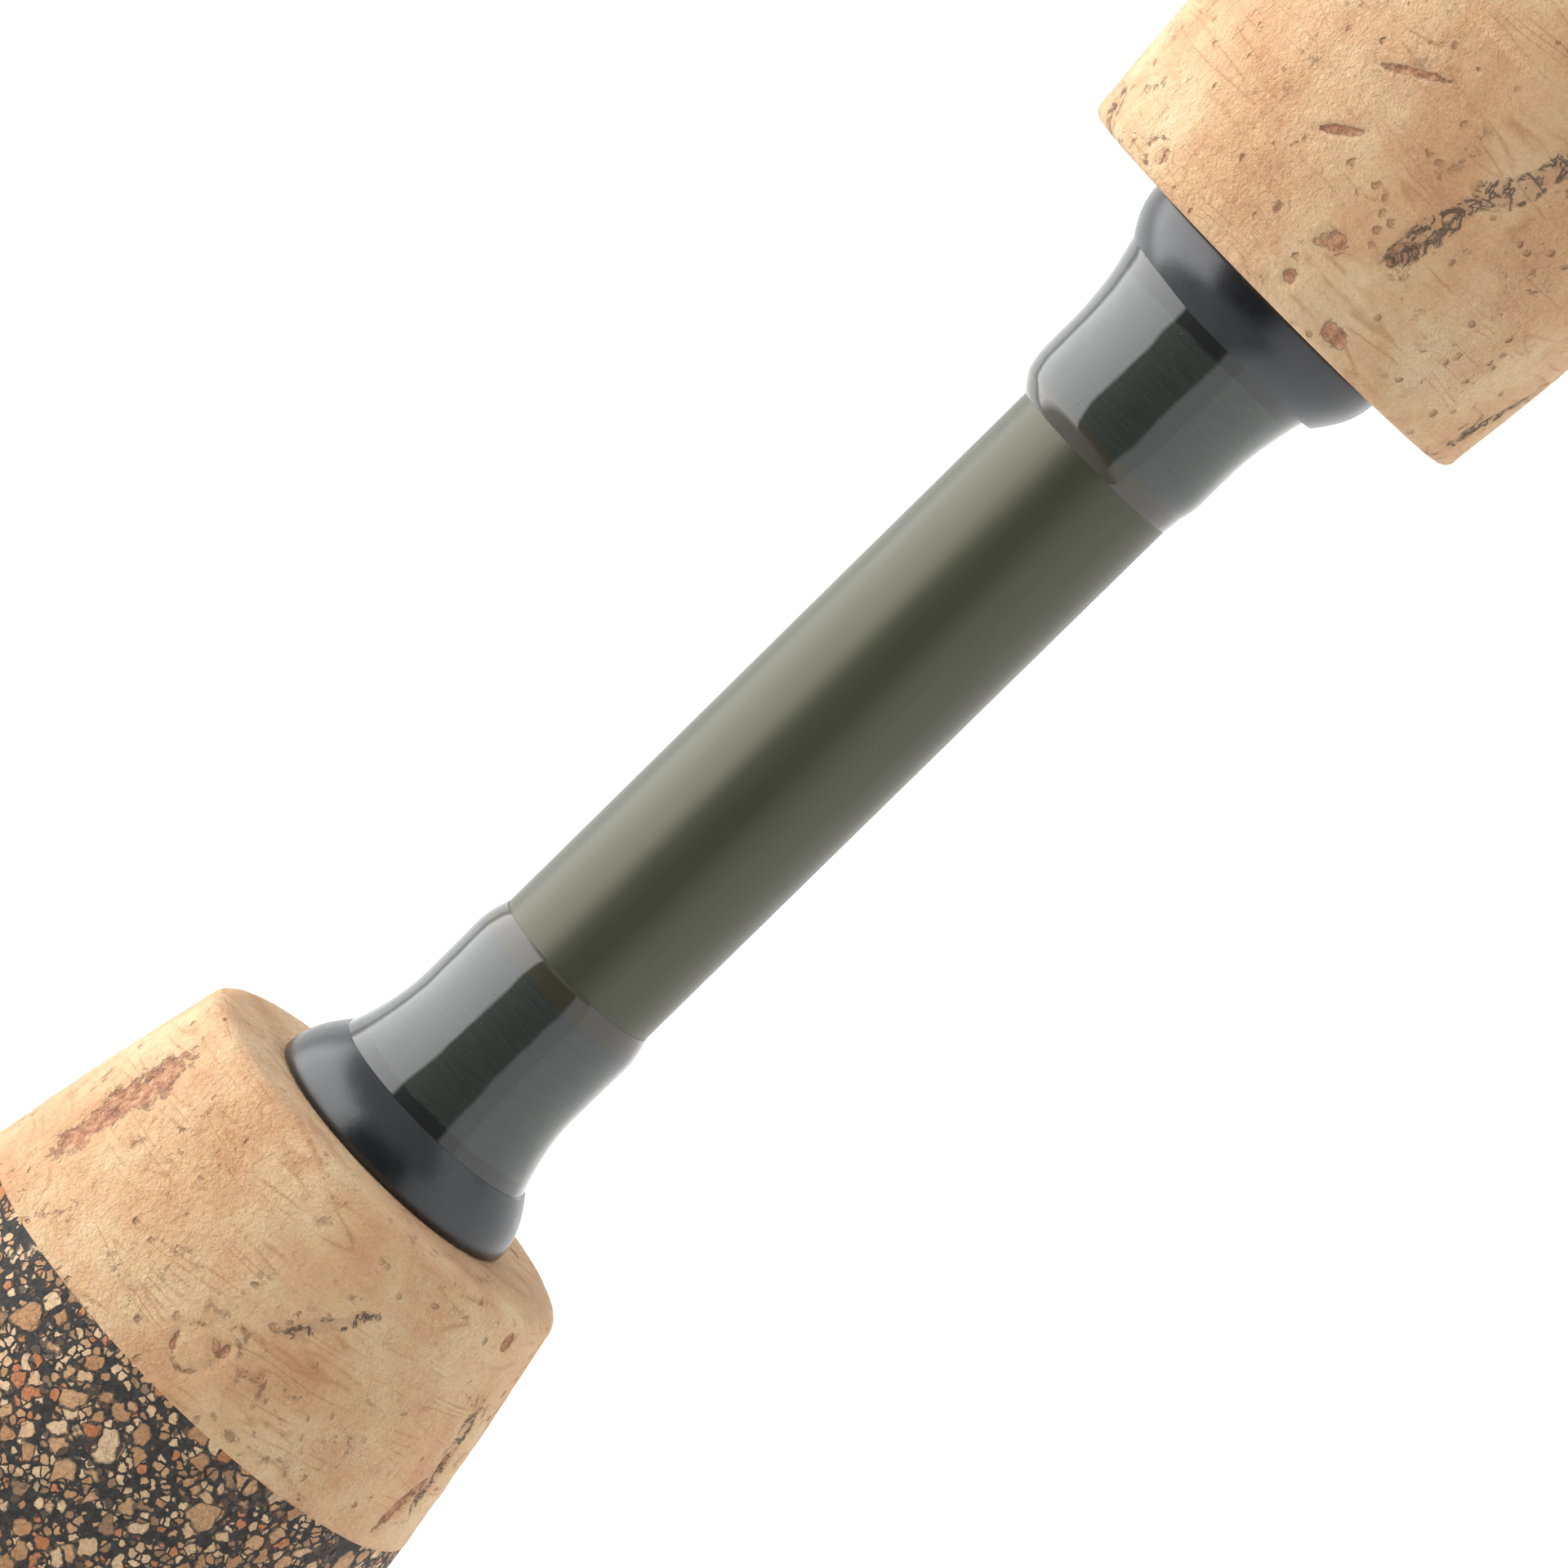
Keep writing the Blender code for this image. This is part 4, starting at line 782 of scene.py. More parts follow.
RUBBER = butt_rubber()
SEAT = seat_graphite()
TRIM = metal("brushed_trim", "trim", (0.36, 0.365, 0.38), 0.32)
STEEL = metal("polished_steel", "steel", (0.62, 0.62, 0.64), 0.18, (1, 1, 1), spread=0.07)
CERAMIC = guide_ceramic()
PAINT = reel_paint()
ALLOY = metal("blasted_alloy", "alloy", (0.27, 0.28, 0.30), 0.34, (1, 1, 1), 0.00001, grain=0.00018)
BRASS = metal("gear_brass", "brass", (0.66, 0.47, 0.20), 0.3, (1, 4, 1))
FOOT_EPOXY = wrap_under_epoxy("guide_wrap_epoxy")


# ---- More shapes ----

def in_mm(points):
    return [tuple(value * MM for value in point) for point in points]


def rising(base_r, points):
    """Points of a section, each given in mm: distance along, and height above a radius."""
    return [(x * MM, base_r + height * MM) for x, height in points]


def arc(centre, radius, start_deg, end_deg, count):
    turns = [math.radians(start_deg + (end_deg - start_deg) * i / (count - 1)) for i in range(count)]
    return [(centre[0] + radius * math.cos(a), centre[1] + radius * math.sin(a)) for a in turns]


def mesh_object(name, grid):
    """An object from a bmesh, with its faces pointing out and its true corners sharp."""
    mesh = bpy.data.meshes.new(name)
    obj = bpy.data.objects.new(name, mesh)
    bpy.context.scene.collection.objects.link(obj)
    bmesh.ops.recalc_face_normals(grid, faces=grid.faces)
    for face in grid.faces:
        face.smooth = True
    grid.to_mesh(mesh)
    grid.free()
    mesh.set_sharp_from_angle(angle=CORNER)
    return obj


def swept(name, path, half_widths, half_depths, material, node, side=Y_AXIS, power=1.0, sides=16):
    """A bar or wire along a path: half_widths lie along side, and a power below 1 squares its section."""
    path = [Vector(point) for point in path]
    side = Vector(side)
    grid = bmesh.new()
    rings = []
    for i, point in enumerate(path):
        tangent = (path[min(i + 1, len(path) - 1)] - path[max(i - 1, 0)]).normalized()
        side = (side - tangent * tangent.dot(side)).normalized()
        other = tangent.cross(side)
        loop = []
        for k in range(sides):
            c, s = math.cos(2 * math.pi * k / sides), math.sin(2 * math.pi * k / sides)
            u = math.copysign(abs(c) ** power, c) * half_widths[i]
            v = math.copysign(abs(s) ** power, s) * half_depths[i]
            loop.append(grid.verts.new(point + side * u + other * v))
        rings.append(loop)
    for a, b in zip(rings, rings[1:]):
        for k in range(sides):
            grid.faces.new((a[k], a[(k + 1) % sides], b[(k + 1) % sides], b[k]))
    grid.faces.new(rings[0])
    grid.faces.new(rings[-1])
    return finish_piece(mesh_object(name, grid), material, node)


def wire(name, path, radius, node, side=Y_AXIS, sides=16):
    radii = [radius] * len(path)
    return swept(name, path, radii, radii, STEEL, node, side=side, sides=sides)


def bevelled(obj, width, segments=3):
    rounding = obj.modifiers.new("edges", "BEVEL")
    rounding.width = width
    rounding.segments = segments
    rounding.limit_method = "ANGLE"
    rounding.angle_limit = math.radians(35)
    rounding.harden_normals = True
    return obj


def extruded(name, outline, start_y, end_y):
    """A flat outline in XZ given a thickness along Y."""
    grid = bmesh.new()
    face = grid.faces.new([grid.verts.new((x, start_y, z)) for x, z in outline])
    made = bmesh.ops.extrude_face_region(grid, geom=[face])["geom"]
    moved = [item for item in made if isinstance(item, bmesh.types.BMVert)]
    bmesh.ops.translate(grid, verts=moved, vec=(0, end_y - start_y, 0))
    return mesh_object(name, grid)


def plate(name, outline, start_y, end_y, material, node, edge=0.0006):
    obj = finish_piece(extruded(name, outline, start_y, end_y), material, node)
    return bevelled(obj, edge)


def baked(obj):
    """Applies an object's modifiers to its mesh."""
    bpy.context.view_layer.update()
    shown = obj.evaluated_get(bpy.context.evaluated_depsgraph_get())
    mesh = bpy.data.meshes.new_from_object(shown)
    obj.modifiers.clear()
    obj.data = mesh
    return obj


def combined(obj, other, operation):
    """Adds or takes away another object, which is then removed."""
    step = obj.modifiers.new(operation.lower(), "BOOLEAN")
    step.operation = operation
    step.solver = "EXACT"
    step.object = other
    baked(obj)
    bpy.data.objects.remove(other, do_unlink=True)
    obj.data.set_sharp_from_angle(angle=CORNER)
    return obj


def rod_of(radius, start, end, sides=96):
    """A plain cylinder between two points, for adding or cutting."""
    start, end = Vector(start), Vector(end)
    grid = bmesh.new()
    turn = Z_AXIS.rotation_difference(end - start).to_matrix().to_4x4()
    place = Matrix.Translation((start + end) / 2) @ turn
    bmesh.ops.create_cone(grid, cap_ends=True, segments=sides, radius1=radius, radius2=radius,
                          depth=(end - start).length, matrix=place)
    return mesh_object("rod", grid)


def box_of(low_corner, high_corner):
    low_corner, high_corner = Vector(low_corner), Vector(high_corner)
    grid = bmesh.new()
    size = high_corner - low_corner
    place = Matrix.Translation((low_corner + high_corner) / 2) @ Matrix.Diagonal((*size, 1))
    bmesh.ops.create_cube(grid, size=1.0, matrix=place)
    return mesh_object("box", grid)


def keep(node, material, edge=0.0):
    """A CAD node whose shape is right gets its finish, and softer edges if it shows."""
    obj = bpy.data.objects[node]
    for place in obj.material_slots:
        place.material = material
    if edge:
        bevelled(obj, edge, 2)


def between(values, start, end, ease):
    """1 between two places and 0 outside them, with a short ramp inside each."""
    return np.clip((values - start) / ease, 0, 1) * np.clip((end - values) / ease, 0, 1)


# ---- Rest of the rod's handle ----

CAP_DISH = 0.0006
cap_r = high("butt_cap")[2]
cap_end = high("butt_cap")[0]
cap_profile = [(CAP_DISH, 0), (CAP_DISH, 0.0066), (0.0002, 0.0072), (0.0, 0.0078), (0.0, cap_r - 0.0026)]
cap_profile += [(0.0020 - 0.0020 * math.cos(a), cap_r - 0.0024 + 0.0018 * math.sin(a))
                for a in (0.3, 0.6, 0.9, 1.2, 1.57)]
for groove in (0.0030, 0.0044, 0.0058):
    cap_profile += [(groove - 0.0004, cap_r - 0.0003), (groove - 0.0002, cap_r - 0.0006),
                    (groove + 0.0002, cap_r - 0.0006), (groove + 0.0004, cap_r - 0.0002)]
cap_profile += [(cap_end - 0.0003, cap_r), (cap_end, cap_r - 0.0003), (cap_end, BLANK_R + GAP),
                (0.0025, BLANK_R + GAP), (0.0025, 0)]
turned("butt_cap_moulded", cap_profile, RUBBER, "butt_cap", sides=128)

FORE_R_START = high("fore_burl")[2]
FORE_R_END = high("fore_check")[2] + 0.0013


def fore_radius(x):
    share = min(1.0, (x - FORE_START) / (FORE_END - FORE_START))
    return FORE_R_START - (FORE_R_START - FORE_R_END) * share ** 1.4


fore_joint = high("fore_burl")[0] + GAP / 2
turned("fore_burl_skin", grip_section(FORE_START, fore_joint, fore_radius, 0.0003, rear_edge=0.0004),
       BURL, "fore_burl", sides=256, shape=cork_skin(53))
turned("fore_cork_skin", grip_section(fore_joint, FORE_END, fore_radius, 0.0003, 0.0010),
       CORK, "fore_cork", sides=256, shape=cork_skin(59))

BARREL_R = high("seat_barrel")[2]
THREAD_PITCH = 0.0015
THREAD_DEPTH = 0.0005
ARBOR_BORE = 0.0067
barrel_end = high("seat_barrel")[0]
thread_start = low("lock_nut")[0] + 0.001


def seat_thread(points, along, turn, radius):
    """One helical thread on the front of the barrel, run out at both ends."""
    x = points[:, 0]
    on = np.clip((x - thread_start) / 0.0012, 0, 1) * np.clip((barrel_end - 0.0006 - x) / 0.001, 0, 1)
    outside = radius > ARBOR_BORE + 0.0004
    wave = (x / THREAD_PITCH - turn / (2 * math.pi)) % 1
    return -THREAD_DEPTH * on * outside * np.clip(1.35 - 2.7 * np.abs(wave - 0.5), 0, 1), {}


barrel = [(SEAT_START, ARBOR_BORE), (SEAT_START, BARREL_R), (thread_start - 0.0012, BARREL_R)]
barrel += resampled([(thread_start - 0.0006, BARREL_R - 0.0003),
                     (barrel_end - 0.0004, BARREL_R - 0.0003)], 0.00012)
barrel += [(barrel_end, BARREL_R - 0.0007), (barrel_end, ARBOR_BORE)]
turned("seat_barrel_threaded", barrel, SEAT, "seat_barrel", sides=128, shape=seat_thread)

HOOD_BORE = BARREL_R + GAP
POCKET_TOP = -BARREL_R + 0.0012
POCKET_HALF_WIDTH = 0.0061
FOOT_BOTTOM = -0.0120


def hood(node, outer, start, pocket):
    """A turned hood with a pocket under the barrel for one end of the reel's foot."""
    end = start + outer[-1][0]
    section = rounded([(0, HOOD_BORE)] + outer + [(outer[-1][0], HOOD_BORE)], 0.0005, 4)
    made = turned(node + "_turned", section, TRIM, node, at=(start, 0, 0), sides=144)
    near, far = (low(node)[0] - 0.001, start + pocket) if pocket > 0 else (end + pocket, end + 0.001)
    combined(made, box_of((near, -POCKET_HALF_WIDTH, FOOT_BOTTOM), (far, POCKET_HALF_WIDTH, POCKET_TOP)),
             "DIFFERENCE")


HOOD_R = high("seat_cork")[2]
POCKET_DEPTH = 0.009
fixed_outer = rising(HOOD_R, [(0, 0), (2.6, 0.05), (3.0, -0.35), (3.6, -0.35), (4.0, 0.3), (9.0, 1.3),
                              (13.0, 2.1), (17.0, 2.35), (21.0, 2.4)])
hood("fixed_hood", fixed_outer, SEAT_START, -POCKET_DEPTH)
sliding_outer = rising(HOOD_R, [(0, 2.0), (2.0, 2.2), (5.5, 2.1), (9.0, 1.7), (12.0, 0.7), (14.0, 0)])
hood("sliding_hood", sliding_outer, low("sliding_hood")[0], POCKET_DEPTH)

NUT_FLUTES = 20
NUT_RIM = 0.0018  # of plain rim at each end of the flutes
FLUTE_DEPTH = 0.0006
nut_length = high("lock_nut")[0] - low("lock_nut")[0]
nut_r = high("lock_nut")[2]


def nut_flutes(points, along, turn, radius):
    fluted = between(along, NUT_RIM, nut_length - NUT_RIM, 0.0005)
    outside = radius > nut_r - 0.0008
    return -FLUTE_DEPTH * fluted * outside * np.abs(np.cos(turn * NUT_FLUTES / 2)) ** 0.7, {}


nut_bore = BARREL_R + 0.0002
nut_rim = rising(nut_r, [(0, -0.4), (0.4, 0), (1.4, 0), (1.6, -0.2)])
nut_section = [(0, nut_bore)] + nut_rim
nut_section += resampled([(NUT_RIM, nut_r - 0.0002), (nut_length - NUT_RIM, nut_r - 0.0002)], 0.0004)
nut_section += [(nut_length - x, radius) for x, radius in reversed(nut_rim)] + [(nut_length, nut_bore)]
turned("lock_nut_fluted", nut_section, TRIM, "lock_nut",
       at=(low("lock_nut")[0], 0, 0), sides=240, shape=nut_flutes)
keep("seat_arbor", SEAT)


# ---- Hook keeper, guides and tip section ----

TIP_R = 0.0009
FERRULE_X = blank_end
TIP_X = high("tip_top_frame")[0]


def blank_radius(x):
    if x <= FERRULE_X:
        return BLANK_R + (FERRULE_R - BLANK_R) * max(0.0, x - FORE_END) / (FERRULE_X - FORE_END)
    return FERRULE_R + (TIP_R - FERRULE_R) * (x - FERRULE_X) / (TIP_X - FERRULE_X)


def bound(node, under=blank_radius, sides=48):
    """Thread and epoxy over a foot, wire or sleeve, drawn down at its ends to what it is wound on."""
    start, end, outer_r = low(node)[0], high(node)[0], high(node)[2]
    section = []
    for i in range(33):
        share = i / 32
        x = start + (end - start) * share
        rise = math.sin(min(1.0, 5 * share, 5 * (1 - share)) * math.pi / 2)
        section.append((x, under(x) + 0.00003 + (outer_r - under(x) - 0.00003) * rise))
    section += [(end, under(end)), (start, under(start))]
    turned(node + "_epoxied", section, FOOT_EPOXY, node, sides=sides, shape=uneven_epoxy(97, 0.00009))


KEEPER_WIRE = 0.00045
KEEPER_FOOT = 0.005  # of wire under the wrap behind the loop
LOOP_HALF, LOOP_FALL = 0.0025, 0.0028
keeper_z = -(BLANK_R + 0.0001 + KEEPER_WIRE)
keeper_x = low("hook_keeper")[0] + KEEPER_FOOT
keeper_path = [(keeper_x - KEEPER_FOOT, 0, keeper_z), (keeper_x - 0.002, 0, keeper_z)]
for i in range(25):
    turn = math.pi * i / 24
    fall = LOOP_FALL * math.sin(turn) ** 0.8
    keeper_path.append((keeper_x + LOOP_HALF - LOOP_HALF * math.cos(turn), 0, keeper_z - fall))
keeper_path += [(keeper_x + 0.007, 0, keeper_z), (high("hook_keeper")[0], 0, keeper_z)]
wire("hook_keeper_wire", keeper_path, KEEPER_WIRE, "hook_keeper")
bound("keeper_wrap")


def guide_ring(ring, band_name, frame_node, x, wall, half_width=0.0007, band_end=0.0008, band_rise=0.0009):
    """A polished ceramic ring pressed into a steel band; gives its height and its radius."""
    z = middle(ring, 2)
    ring_r = (high(ring)[2] - low(ring)[2]) / 2
    tube = [(half_width * math.cos(a), ring_r - wall / 2 + wall / 2 * math.sin(a))
            for a in (2 * math.pi * i / 16 for i in range(16))]
    turned(ring + "_polished", tube, CERAMIC, ring, at=(x, 0, z))
    inner, outer = ring_r + 0.0001, ring_r + band_rise
    band = rounded([(-0.0008, inner), (-0.0008, outer), (band_end, outer), (band_end, inner)])
    turned(band_name, band, STEEL, frame_node, at=(x, 0, z))
    return z, ring_r


LEG_WIDTH, LEG_DEPTH = (0.0013, 0.0008), (0.0006, 0.00035)  # half sizes at the ring and at the heel
FOOT_WIDTH, FOOT_DEPTH = (0.00075, 0.0005), (0.00029, 0.00017)  # at the heel and at the toe


def part_way(ends, share):
    return ends[0] + (ends[1] - ends[0]) * share


def guide(name, ways, wall):
    """A ceramic ring in a pressed frame that stands on one or two feet below the blank."""
    ring, frame_node = name + "_ring", name + "_frame"
    x = middle(ring, 0)
    z, ring_r = guide_ring(ring, frame_node + "_band", frame_node, x, wall)
    top = z + ring_r + 0.0006
    for way in ways:
        end = high(frame_node)[0] if way > 0 else low(frame_node)[0]
        rise = -(blank_radius(x) + 0.0007) - top
        heel = x + way * (rise + 0.005)
        path, widths, depths = [], [], []
        for i in range(13):
            share = i / 12
            blend = share * share * (3 - 2 * share)
            heel_z = -(blank_radius(heel) + 0.0004)
            path.append((x + (heel - x) * share, 0, top + (heel_z - top) * blend))
            widths.append(part_way(LEG_WIDTH, share))
            depths.append(part_way(LEG_DEPTH, share))
        for i in range(1, 9):
            share = i / 8
            place = heel + (end - heel) * share
            path.append((place, 0, -(blank_radius(place) + 0.0004 - 0.0001 * share)))
            widths.append(part_way(FOOT_WIDTH, share))
            depths.append(part_way(FOOT_DEPTH, share))
        suffix = "_leg_front" if way > 0 else "_leg_rear"
        swept(frame_node + suffix, path, widths, depths, STEEL, frame_node, power=0.6)


guide("stripper_guide", (-1, 1), wall=0.0024)
bound("stripper_guide_wrap_rear")
bound("stripper_guide_wrap_front")
for guide_name, ring_wall in (("middle_guide", 0.0018), ("fore_guide", 0.0014), ("end_guide", 0.0013)):
    guide(guide_name, (1,), ring_wall)
    bound(guide_name + "_wrap")

socket_start = low("tip_blank")[0]
socket_r = high("tip_blank")[2]
tip_end = high("tip_blank")[0]
blend_end = FERRULE_X + 0.035
tip_outer = [(socket_start, socket_r), (FERRULE_X, socket_r - 0.0002), (blend_end, blank_radius(blend_end))]
tip_outer = resampled(tip_outer + [(tip_end, blank_radius(tip_end))], 0.02)
tip_inner = [(tip_end, blank_radius(tip_end) - 0.0005), (blend_end, blank_radius(blend_end) - 0.0008),
             (FERRULE_X + 0.004, FERRULE_R + 0.00008), (socket_start, blank_radius(socket_start) + 0.00008)]
turned("tip_blank_tube", tip_outer + tip_inner, BLANK, "tip_blank", sides=64)


def socket_radius(x):
    return socket_r - 0.0002 * (x - socket_start) / (FERRULE_X - socket_start)


bound("ferrule_wrap", socket_radius, 96)

tip_ring_z, tip_ring_r = guide_ring("tip_top_ring", "tip_top_band", "tip_top_frame", TIP_X - 0.001,
                                    0.0011, 0.0006, 0.0010, 0.0008)
TUBE_WALL = 0.0005
tube_r = blank_radius(tip_end) + 0.0001
tube_start, tube_end, tube_seat = tip_end - 0.008, TIP_X - 0.003, tip_end + GAP
tip_tube = [(tube_start, tube_r), (tube_start, tube_r + TUBE_WALL), (tube_end, tube_r + TUBE_WALL),
            (tube_end, tube_r - TUBE_WALL), (tube_seat, tube_r - TUBE_WALL), (tube_seat, tube_r)]
turned("tip_top_tube", rounded(tip_tube, 0.0002, 2), STEEL, "tip_top_frame", sides=48)
for tip_side, side_name in ((-1, "right"), (1, "left")):
    brace = []
    for i in range(13):
        share = i / 12
        away = 0.0012 + (tip_ring_r + 0.0001) * 0.82 * share
        bow = 0.0002 * math.sin(math.radians(115 * (1 - share)))
        fall = -0.0008 + (tip_ring_z + 0.0012) * share ** 1.6
        brace.append((TIP_X - 0.0095 + 0.0085 * share, tip_side * away, fall + bow))
    wire("tip_top_brace_" + side_name, brace, 0.00035, "tip_top_frame")


# ---- Reel: cast body, covers and crank ----

CASE_R = high("side_cover")[2] - CRANK_Z
CASE_RIGHT = low("reel_body")[1]
CASE_LEFT = low("side_cover")[1] - GAP + 0.0008  # the cover's lip goes 0.8 mm into the case
NECK_END = low("rotor_bearing")[0] + 0.007
BEARING_R = high("rotor_bearing")[2] - SPOOL_AXIS_Z
FOOT_TOP = -(BARREL_R + GAP)
CAST_VOXEL = 0.00045


def cast_body():
    """Case, neck, stem and foot cast as one, with soft fillets, then bored for what turns in it."""
    case_wall = 0.002
    right_edge = 0.0026
    case = [(CASE_RIGHT, 0), (CASE_RIGHT, CASE_R - right_edge)]
    case += [(CASE_RIGHT + right_edge * (1 - math.sin(a)), CASE_R - right_edge * (1 - math.cos(a)))
             for a in (1.2, 0.9, 0.6, 0.3, 0.0)]
    case += [(CASE_LEFT + 0.001, CASE_R), (CASE_LEFT + 0.001, 0)]
    body = turned("reel_body_cast", case, PAINT, at=CRANK_AT, toward=Y_AXIS, sides=128)
    neck = turned("neck", in_mm([(211, 0), (211, 14.0), (213.0, 17.0), (216, 18.5), (229, 18.5), (229, 0)]),
                  PAINT, at=AXIS_AT, sides=128)
    stem_sides = in_mm([(190.5, -54), (193.5, -47), (196.5, -40), (198.2, -32), (198.4, -25),
                        (196.6, -17.5), (190.5, -10.4), (221.5, -10.4), (215.8, -17.5), (213.2, -25),
                        (212.8, -32), (214.2, -40), (218.0, -46), (222.5, -49), (214, -54)])
    stem = bevelled(extruded("stem", stem_sides, -0.0045, 0.0045), 0.0017)
    foot_rear, foot_front = low("fixed_hood")[0] + 0.0128, high("sliding_hood")[0] - 0.0092
    foot_edge, foot_low = FOOT_TOP - 0.0012, FOOT_TOP - 0.0026
    foot_sides = [(foot_rear, FOOT_TOP), (foot_front, FOOT_TOP), (foot_front, foot_edge),
                  (foot_front - 0.010, foot_low), (foot_rear + 0.010, foot_low), (foot_rear, foot_edge)]
    foot = extruded("foot", foot_sides, -0.0055, 0.0055)
    for part in (neck, baked(stem), foot):
        combined(body, part, "UNION")
    cast = body.modifiers.new("cast", "REMESH")
    cast.mode = "VOXEL"
    cast.voxel_size = CAST_VOXEL
    softened = body.modifiers.new("softened", "SMOOTH")
    softened.factor = 0.5
    softened.iterations = 7
    baked(body)
    hollow_end = CASE_LEFT + 0.003

    def bored(radius, start_y, end_y, sides=96):
        return rod_of(radius, (CRANK_X, start_y, CRANK_Z), (CRANK_X, end_y, CRANK_Z), sides)

    neck_front = (NECK_END + 0.002, 0, SPOOL_AXIS_Z)
    cuts = [bored(CASE_R - case_wall, CASE_RIGHT + 0.0022, hollow_end),
            bored(CASE_R + 0.002, CASE_LEFT, hollow_end, 128),
            bored(0.0058, CASE_RIGHT - 0.002, 0),
            rod_of(0.0044, (0.212, 0, SPOOL_AXIS_Z), neck_front),
            rod_of(BEARING_R + GAP, (low("rotor_bearing")[0] - GAP, 0, SPOOL_AXIS_Z), neck_front),
            rod_of(0.0019, (CRANK_X, 0, CRANK_Z - 0.025), (CRANK_X, 0, CRANK_Z - 0.0155), 32)]
    for cutter in cuts:
        combined(body, cutter, "DIFFERENCE")
    finish_piece(body, PAINT, "reel_body")
    for face in body.data.polygons:
        face.use_smooth = True
    body.data.set_sharp_from_angle(angle=CORNER)


cast_body()

COVER_START = low("side_cover")[1]
COVER_END = high("side_cover")[1]
sleeve = 0.0039
face_y = COVER_END - 0.0018
cover = [(COVER_START, sleeve), (COVER_START, sleeve + 0.0017), (CASE_LEFT + GAP, sleeve + 0.0017),
         (CASE_LEFT + GAP, CASE_R)]
cover += [(face_y - 0.0016 + 0.0014 * math.sin(a), CASE_R - 0.0016 * (1 - math.cos(a)))
          for a in (0.0, 0.4, 0.8, 1.2)]
pressed = in_mm([(-0.1, 15.5), (-0.1, 13.6), (-0.5, 13.2), (-0.5, 12.8), (-0.1, 12.4), (0, 9.6),
                 (0.3, 8.6), (1.4, 7.2)])
cover += [(face_y + rise, radius) for rise, radius in pressed]
cover += [(COVER_END, 0.0062), (COVER_END, 0.0024), (COVER_END - 0.0004, 0.0002), (COVER_END - 0.0006, 0.0)]
cover = [(COVER_START + 0.003, 0.0), (COVER_START + 0.003, sleeve)] + cover
made_cover = turned("side_cover_pressed", cover, PAINT, "side_cover", at=CRANK_AT, toward=Y_AXIS, sides=144)
for screw in ("cover_screw_rear", "cover_screw_front"):
    screw_x, screw_z = middle(screw, 0), middle(screw, 2)
    hole = rod_of(0.0011, (screw_x, COVER_START - 0.002, screw_z), (screw_x, COVER_END, screw_z), 32)
    combined(made_cover, hole, "DIFFERENCE")
    shank, head_y = low(screw)[1], high(screw)[1]
    head = [(shank, 0), (shank, 0.0007), (head_y - 0.0008, 0.0007), (head_y - 0.0008, 0.0015),
            (head_y - 0.0003, 0.0015), (head_y, 0.0011), (head_y, 0)]
    turned_screw = turned(screw + "_turned", head, STEEL, screw, at=(screw_x, 0, screw_z), toward=Y_AXIS,
                          sides=48)
    for wide, tall in ((0.0002, 0.0010), (0.0010, 0.0002)):
        slot = box_of((screw_x - wide, head_y - 0.0006, screw_z - tall),
                      (screw_x + wide, head_y + 0.0006, screw_z + tall))
        combined(turned_screw, slot, "DIFFERENCE")

guard = arc((CRANK_X, CRANK_Z), CASE_R + 0.0019, 138, 245, 40)
guard += arc((CRANK_X, CRANK_Z), CASE_R + 0.0004, 245, 138, 40)
plate("rear_cap_formed", guard, low("rear_cap")[1], high("rear_cap")[1], ALLOY, "rear_cap", 0.0005)
for node, material in (("drive_gear", BRASS), ("pinion_gear", BRASS), ("oscillation_slider", BRASS),
                       ("handle_bearing", STEEL), ("rotor_bearing", STEEL)):
    keep(node, material)

shaft_end = high("handle_shaft")[1]
shaft_face = low("handle_shaft")[1]
shaft = [(-shaft_end, 0), (-shaft_end, 0.0020)]
shaft += in_mm([(12.8, 2.0), (12.8, 4.4), (15.0, 4.4), (15.4, 4.0), (16.2, 4.0), (16.6, 4.4), (18.0, 4.3),
                (22.0, 3.6)])
shaft += [(-shaft_face, 0.0036), (-shaft_face, 0)]
turned("handle_shaft_turned", shaft, ALLOY, "handle_shaft", at=CRANK_AT, toward=-Y_AXIS, sides=64)

KNOB_Z = middle("handle_knob", 2)
knob_near, knob_far = -high("handle_knob")[1], -low("handle_knob")[1]
arm_top, arm_bottom = -(knob_near - 0.0043), -(knob_near - 0.0008)
arm_sides = arc((CRANK_X, CRANK_Z), 0.0055, 12, 168, 24)
arm_sides += [(CRANK_X - 0.0036, CRANK_Z - 0.014), (CRANK_X - 0.0031, CRANK_Z - 0.028)]
arm_sides += arc((CRANK_X, KNOB_Z), 0.0040, 168, 372, 24)
arm_sides += [(CRANK_X + 0.0031, CRANK_Z - 0.028), (CRANK_X + 0.0036, CRANK_Z - 0.014)]
plate("handle_arm_forged", arm_sides, arm_bottom, arm_top, ALLOY, "handle_arm", 0.0009)
pin_start, pin_end = -arm_top + 0.001, knob_far - 0.004
pin = [(pin_start, 0), (pin_start, 0.0016), (pin_end - 0.0003, 0.0016), (pin_end, 0.0013), (pin_end, 0)]
turned("handle_arm_pin", pin, STEEL, "handle_arm", at=(CRANK_X, 0, KNOB_Z), toward=-Y_AXIS, sides=48)
boss = [(-arm_top - 0.0001, 0), (-arm_top - 0.0001, 0.0040), (-arm_bottom + 0.0001, 0.0040),
        (-arm_bottom + 0.0005, 0.0036), (-arm_bottom + 0.0005, 0.0016), (-arm_bottom, 0.0012),
        (-arm_bottom, 0)]
turned("handle_arm_cap", boss, STEEL, "handle_arm", at=CRANK_AT, toward=-Y_AXIS, sides=64)


